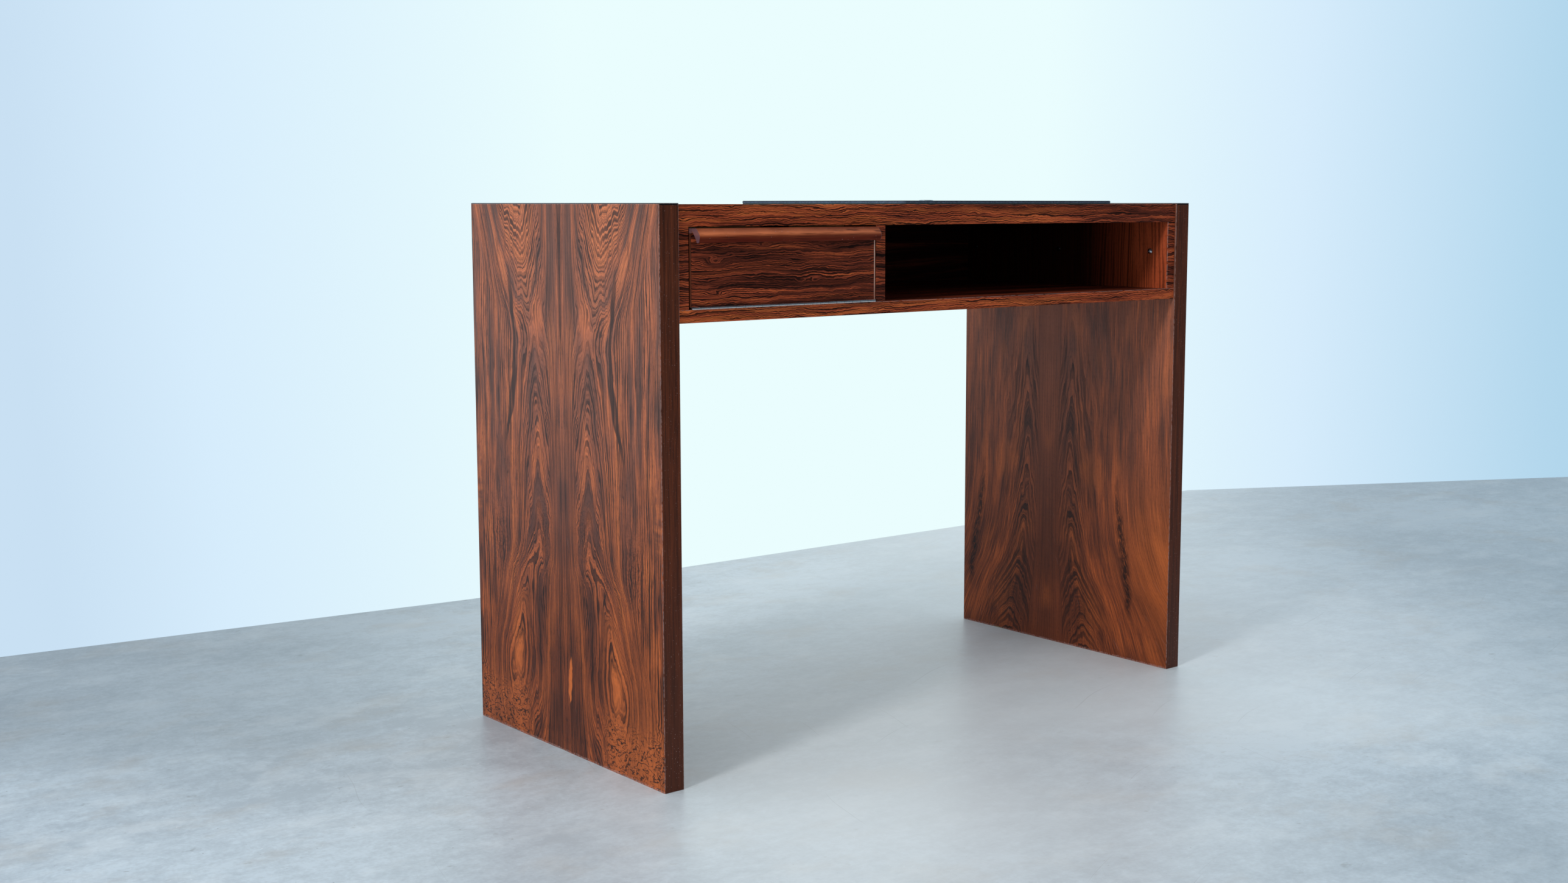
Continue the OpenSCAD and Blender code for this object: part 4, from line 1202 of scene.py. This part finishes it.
class DESK_OT_pad(bpy.types.Operator):
    """Covers the counter pad in leather and felt."""

    bl_idname = "desk.pad"
    bl_label = "Counter pad"

    def execute(self, context):
        looks = context.scene.desk_looks
        pad = looks.pad
        low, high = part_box("pad_leather")
        cover = self.cut(low, high, pad.corner)
        soften(cover, [e for e in cover.edges if middle(e).z > high.z - TOUCH], pad.rounding, 4)
        soften(cover, [e for e in cover.edges if middle(e).z < low.z + TOUCH], pad.hem, 2)
        leather = shared("pad_leather_finish", leather_finish, pad)
        piece("pad_cover", cover, leather, "counter_pad", "leather", "pad_leather")
        low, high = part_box("pad_felt")
        inset = Vector((pad.hem, pad.hem, 0))
        backing = self.cut(low + inset, high - inset, pad.corner)
        felt = shared("felt_finish", felt_finish, pad)
        piece("pad_backing", backing, felt, "counter_pad", "felt", "pad_felt")
        dress(shared("pad_board_finish", raw_wood, looks.woods, "x"), "pad_board")
        return {"FINISHED"}

    def cut(self, low, high, corner):
        """A layer of the pad, with its four corners rounded."""
        return block(low, high, corner, 8, lambda at: abs(at.z - (low.z + high.z) / 2) < TOUCH)


class DESK_OT_knob(bpy.types.Operator):
    """Turns the pad's flat knob."""

    bl_idname = "desk.knob"
    bl_label = "Knob"

    def execute(self, context):
        looks = context.scene.desk_looks
        low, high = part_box("pad_knob")
        radius = (high.x - low.x) / 2
        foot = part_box("pad_leather")[1].z
        rise = high.z - foot
        floor = 0.8 - looks.pad.groove / rise
        rim = [(0, 0), (0.92, 0), (0.985, 0.12), (1, 0.3), (0.985, 0.5), (0.94, 0.66), (0.86, 0.76)]
        face = [(0.8, 0.8), (0.77, floor), (0.74, 0.83), (0.5, 0.95), (0.2, 0.98), (0, 1)]
        profile = [(radius * out, foot + rise * up) for out, up in rim + face]
        knob = turned(profile, ((low.x + high.x) / 2, (low.y + high.y) / 2))
        for part in knob.faces:
            part.smooth = True
        plated = shared("knob_nickel", metal, looks.fittings.nickel, rough=0.24)
        piece("pad_knob_dome", knob, plated, "counter_pad", "nickel", "pad_knob")
        dress(shared("zinc_steel", metal, looks.fittings.steel, rough=0.32), "pad_washer")
        return {"FINISHED"}


class DESK_OT_stage(bpy.types.Operator):
    """Lays the floor and sets the background, the light and the camera."""

    bl_idname = "desk.stage"
    bl_label = "Studio"

    def execute(self, context):
        studio = context.scene.desk_looks.studio
        lay_floor(studio)
        light_world(studio)
        hang_light(studio)
        place_camera()
        context.scene.view_settings.view_transform = "Standard"
        return {"FINISHED"}


def lay_floor(studio):
    """The floor, which ends at the wall behind the desk.

    The wall's foot is given from left to right, and the floor goes on past the camera.
    """
    wall = [(-9, 2.04), (-0.942, 1.049), (-0.131, 0.949), (1.131, 0.926), (1.944, 0.929), (2.925, 0.417)]
    corners = wall + [(6, -1.07), (6, -9), (-9, -9)]
    mesh = bmesh.new()
    face = mesh.faces.new([mesh.verts.new((x, y, 0)) for x, y in corners])
    if face.normal.z < 0:
        face.normal_flip()
    data = bpy.data.meshes.new("studio_floor")
    bmesh.ops.triangulate(mesh, faces=[face])
    mesh.to_mesh(data)
    mesh.free()
    data.materials.append(shared("concrete", concrete, studio))
    floor = bpy.data.objects.new("studio_floor", data)
    bpy.context.scene.collection.objects.link(floor)


def light_world(studio):
    """The pale background, which metal mirrors too, and an even light on the desk from all round."""
    world = bpy.data.worlds.new("studio")
    bpy.context.scene.world = world
    world.use_nodes = True
    world.node_tree.nodes.clear()
    g = Graph(world.node_tree)
    way = g.node("ShaderNodeTexCoord").outputs["Generated"]
    east, north, up = (Wire(g, out) for out in g.node("ShaderNodeSeparateXYZ", {0: way}).outputs)
    across = east * RIGHT[0] + north * RIGHT[1]
    low_left = g.step(across, -0.05, -0.3) * g.step(up, -0.02, -0.25) * 0.01
    wall = g.ramp(
        across * 0.5 + 0.5 - low_left,
        (0.298, studio.wall_left),
        (0.335, studio.wall_side),
        (0.43, studio.wall),
        (0.56, studio.wall),
        (0.625, studio.wall_side),
        (0.686, studio.wall_right),
    )
    before = g.step(north, 0.1, -0.5)
    rays = g.node("ShaderNodeLightPath").outputs
    mirrored = g.most(Wire(g, rays["Is Glossy Ray"]), Wire(g, rays["Is Transmission Ray"]))
    seen = g.most(Wire(g, rays["Is Camera Ray"]), mirrored)
    shown = g.mix(wall, studio.room, before * mirrored)
    backdrop = g.node("ShaderNodeBackground", {0: shown, 1: 1.0}).outputs[0]
    strength = (1 - before * 0.35) * studio.fill
    light = g.node("ShaderNodeBackground", {0: (0.93, 0.98, 1.0), 1: strength}).outputs[0]
    either = g.node("ShaderNodeMixShader", {0: seen, 1: light, 2: backdrop}).outputs[0]
    g.node("ShaderNodeOutputWorld", {0: either})


def hang_light(studio):
    """The key light, high up to the left of the desk."""
    data = bpy.data.lights.new("key_light", "AREA")
    data.shape = "DISK"
    data.size = studio.key_size
    data.energy = studio.key_power
    data.color = (1.0, 0.97, 0.93)
    lamp = bpy.data.objects.new("key_light", data)
    bpy.context.scene.collection.objects.link(lamp)
    lamp.location = (-5.4, -1.6, 3.8)
    heart_of_desk = Vector((0, 0, 0.35))
    aim = heart_of_desk - lamp.location
    lamp.rotation_euler = aim.to_track_quat("-Z", "Y").to_euler()


def place_camera():
    """The camera, at the photograph's viewing angle."""
    tilt, turn = 6.929, 39.690
    data = bpy.data.cameras.new("camera")
    data.lens = 41.766
    data.sensor_width = 36
    data.shift_x = -0.02617
    data.shift_y = -0.01083
    camera = bpy.data.objects.new("camera", data)
    bpy.context.scene.collection.objects.link(camera)
    camera.location = (-1.7639, -2.0636, 0.7396)
    camera.rotation_euler = (math.radians(90 - tilt), 0, math.radians(-turn))
    bpy.context.scene.camera = camera


class DeskLooks(bpy.types.PropertyGroup):
    """All the sizes and colours of the desk."""

    woods: PointerProperty(type=DeskWoods, name="Woods", description="Colours of the woods")
    fittings: PointerProperty(type=DeskFittings, name="Fittings", description="Colours of the fittings")
    pad: PointerProperty(type=DeskPadLooks, name="Pad", description="The counter pad")
    shapes: PointerProperty(type=DeskShapes, name="Shapes", description="Roundings and wear")
    studio: PointerProperty(type=DeskStudio, name="Studio", description="Floor, background and light")


class DESK_PT_looks(bpy.types.Panel):
    """Lists the desk's sizes, colours and building steps."""

    bl_idname = "DESK_PT_looks"
    bl_label = "Jewellers desk"
    bl_space_type = "VIEW_3D"
    bl_region_type = "UI"
    bl_category = "Desk"

    def draw(self, context):
        looks = context.scene.desk_looks
        for group in (looks.woods, looks.fittings, looks.pad, looks.shapes, looks.studio):
            column = self.layout.column(align=True)
            for name in group.__annotations__:
                column.prop(group, name)
        steps = self.layout.column(align=True)
        for step in STEPS:
            steps.operator(step.bl_idname)


SETTINGS = (DeskWoods, DeskFittings, DeskPadLooks, DeskShapes, DeskStudio, DeskLooks)
STEPS = (
    DESK_OT_panel_veneers,
    DESK_OT_panel_edges,
    DESK_OT_case_boards,
    DESK_OT_case_bands,
    DESK_OT_flap,
    DESK_OT_pull,
    DESK_OT_hinge,
    DESK_OT_fixings,
    DESK_OT_pad,
    DESK_OT_knob,
    DESK_OT_stage,
)


def register():
    for kind in (*SETTINGS, *STEPS, DESK_PT_looks):
        bpy.utils.register_class(kind)
    bpy.types.Scene.desk_looks = PointerProperty(type=DeskLooks)


def unregister():
    del bpy.types.Scene.desk_looks
    for kind in (DESK_PT_looks, *reversed(STEPS), *reversed(SETTINGS)):
        bpy.utils.unregister_class(kind)


def main():
    """Builds the desk and its studio."""
    register()
    bpy.ops.desk.panel_veneers()
    bpy.ops.desk.panel_edges()
    bpy.ops.desk.case_boards()
    bpy.ops.desk.case_bands()
    bpy.ops.desk.flap()
    bpy.ops.desk.pull()
    bpy.ops.desk.hinge()
    bpy.ops.desk.fixings()
    bpy.ops.desk.pad()
    bpy.ops.desk.knob()
    bpy.ops.desk.stage()
    bpy.context.view_layer.update()


if __name__ == "__main__":
    main()
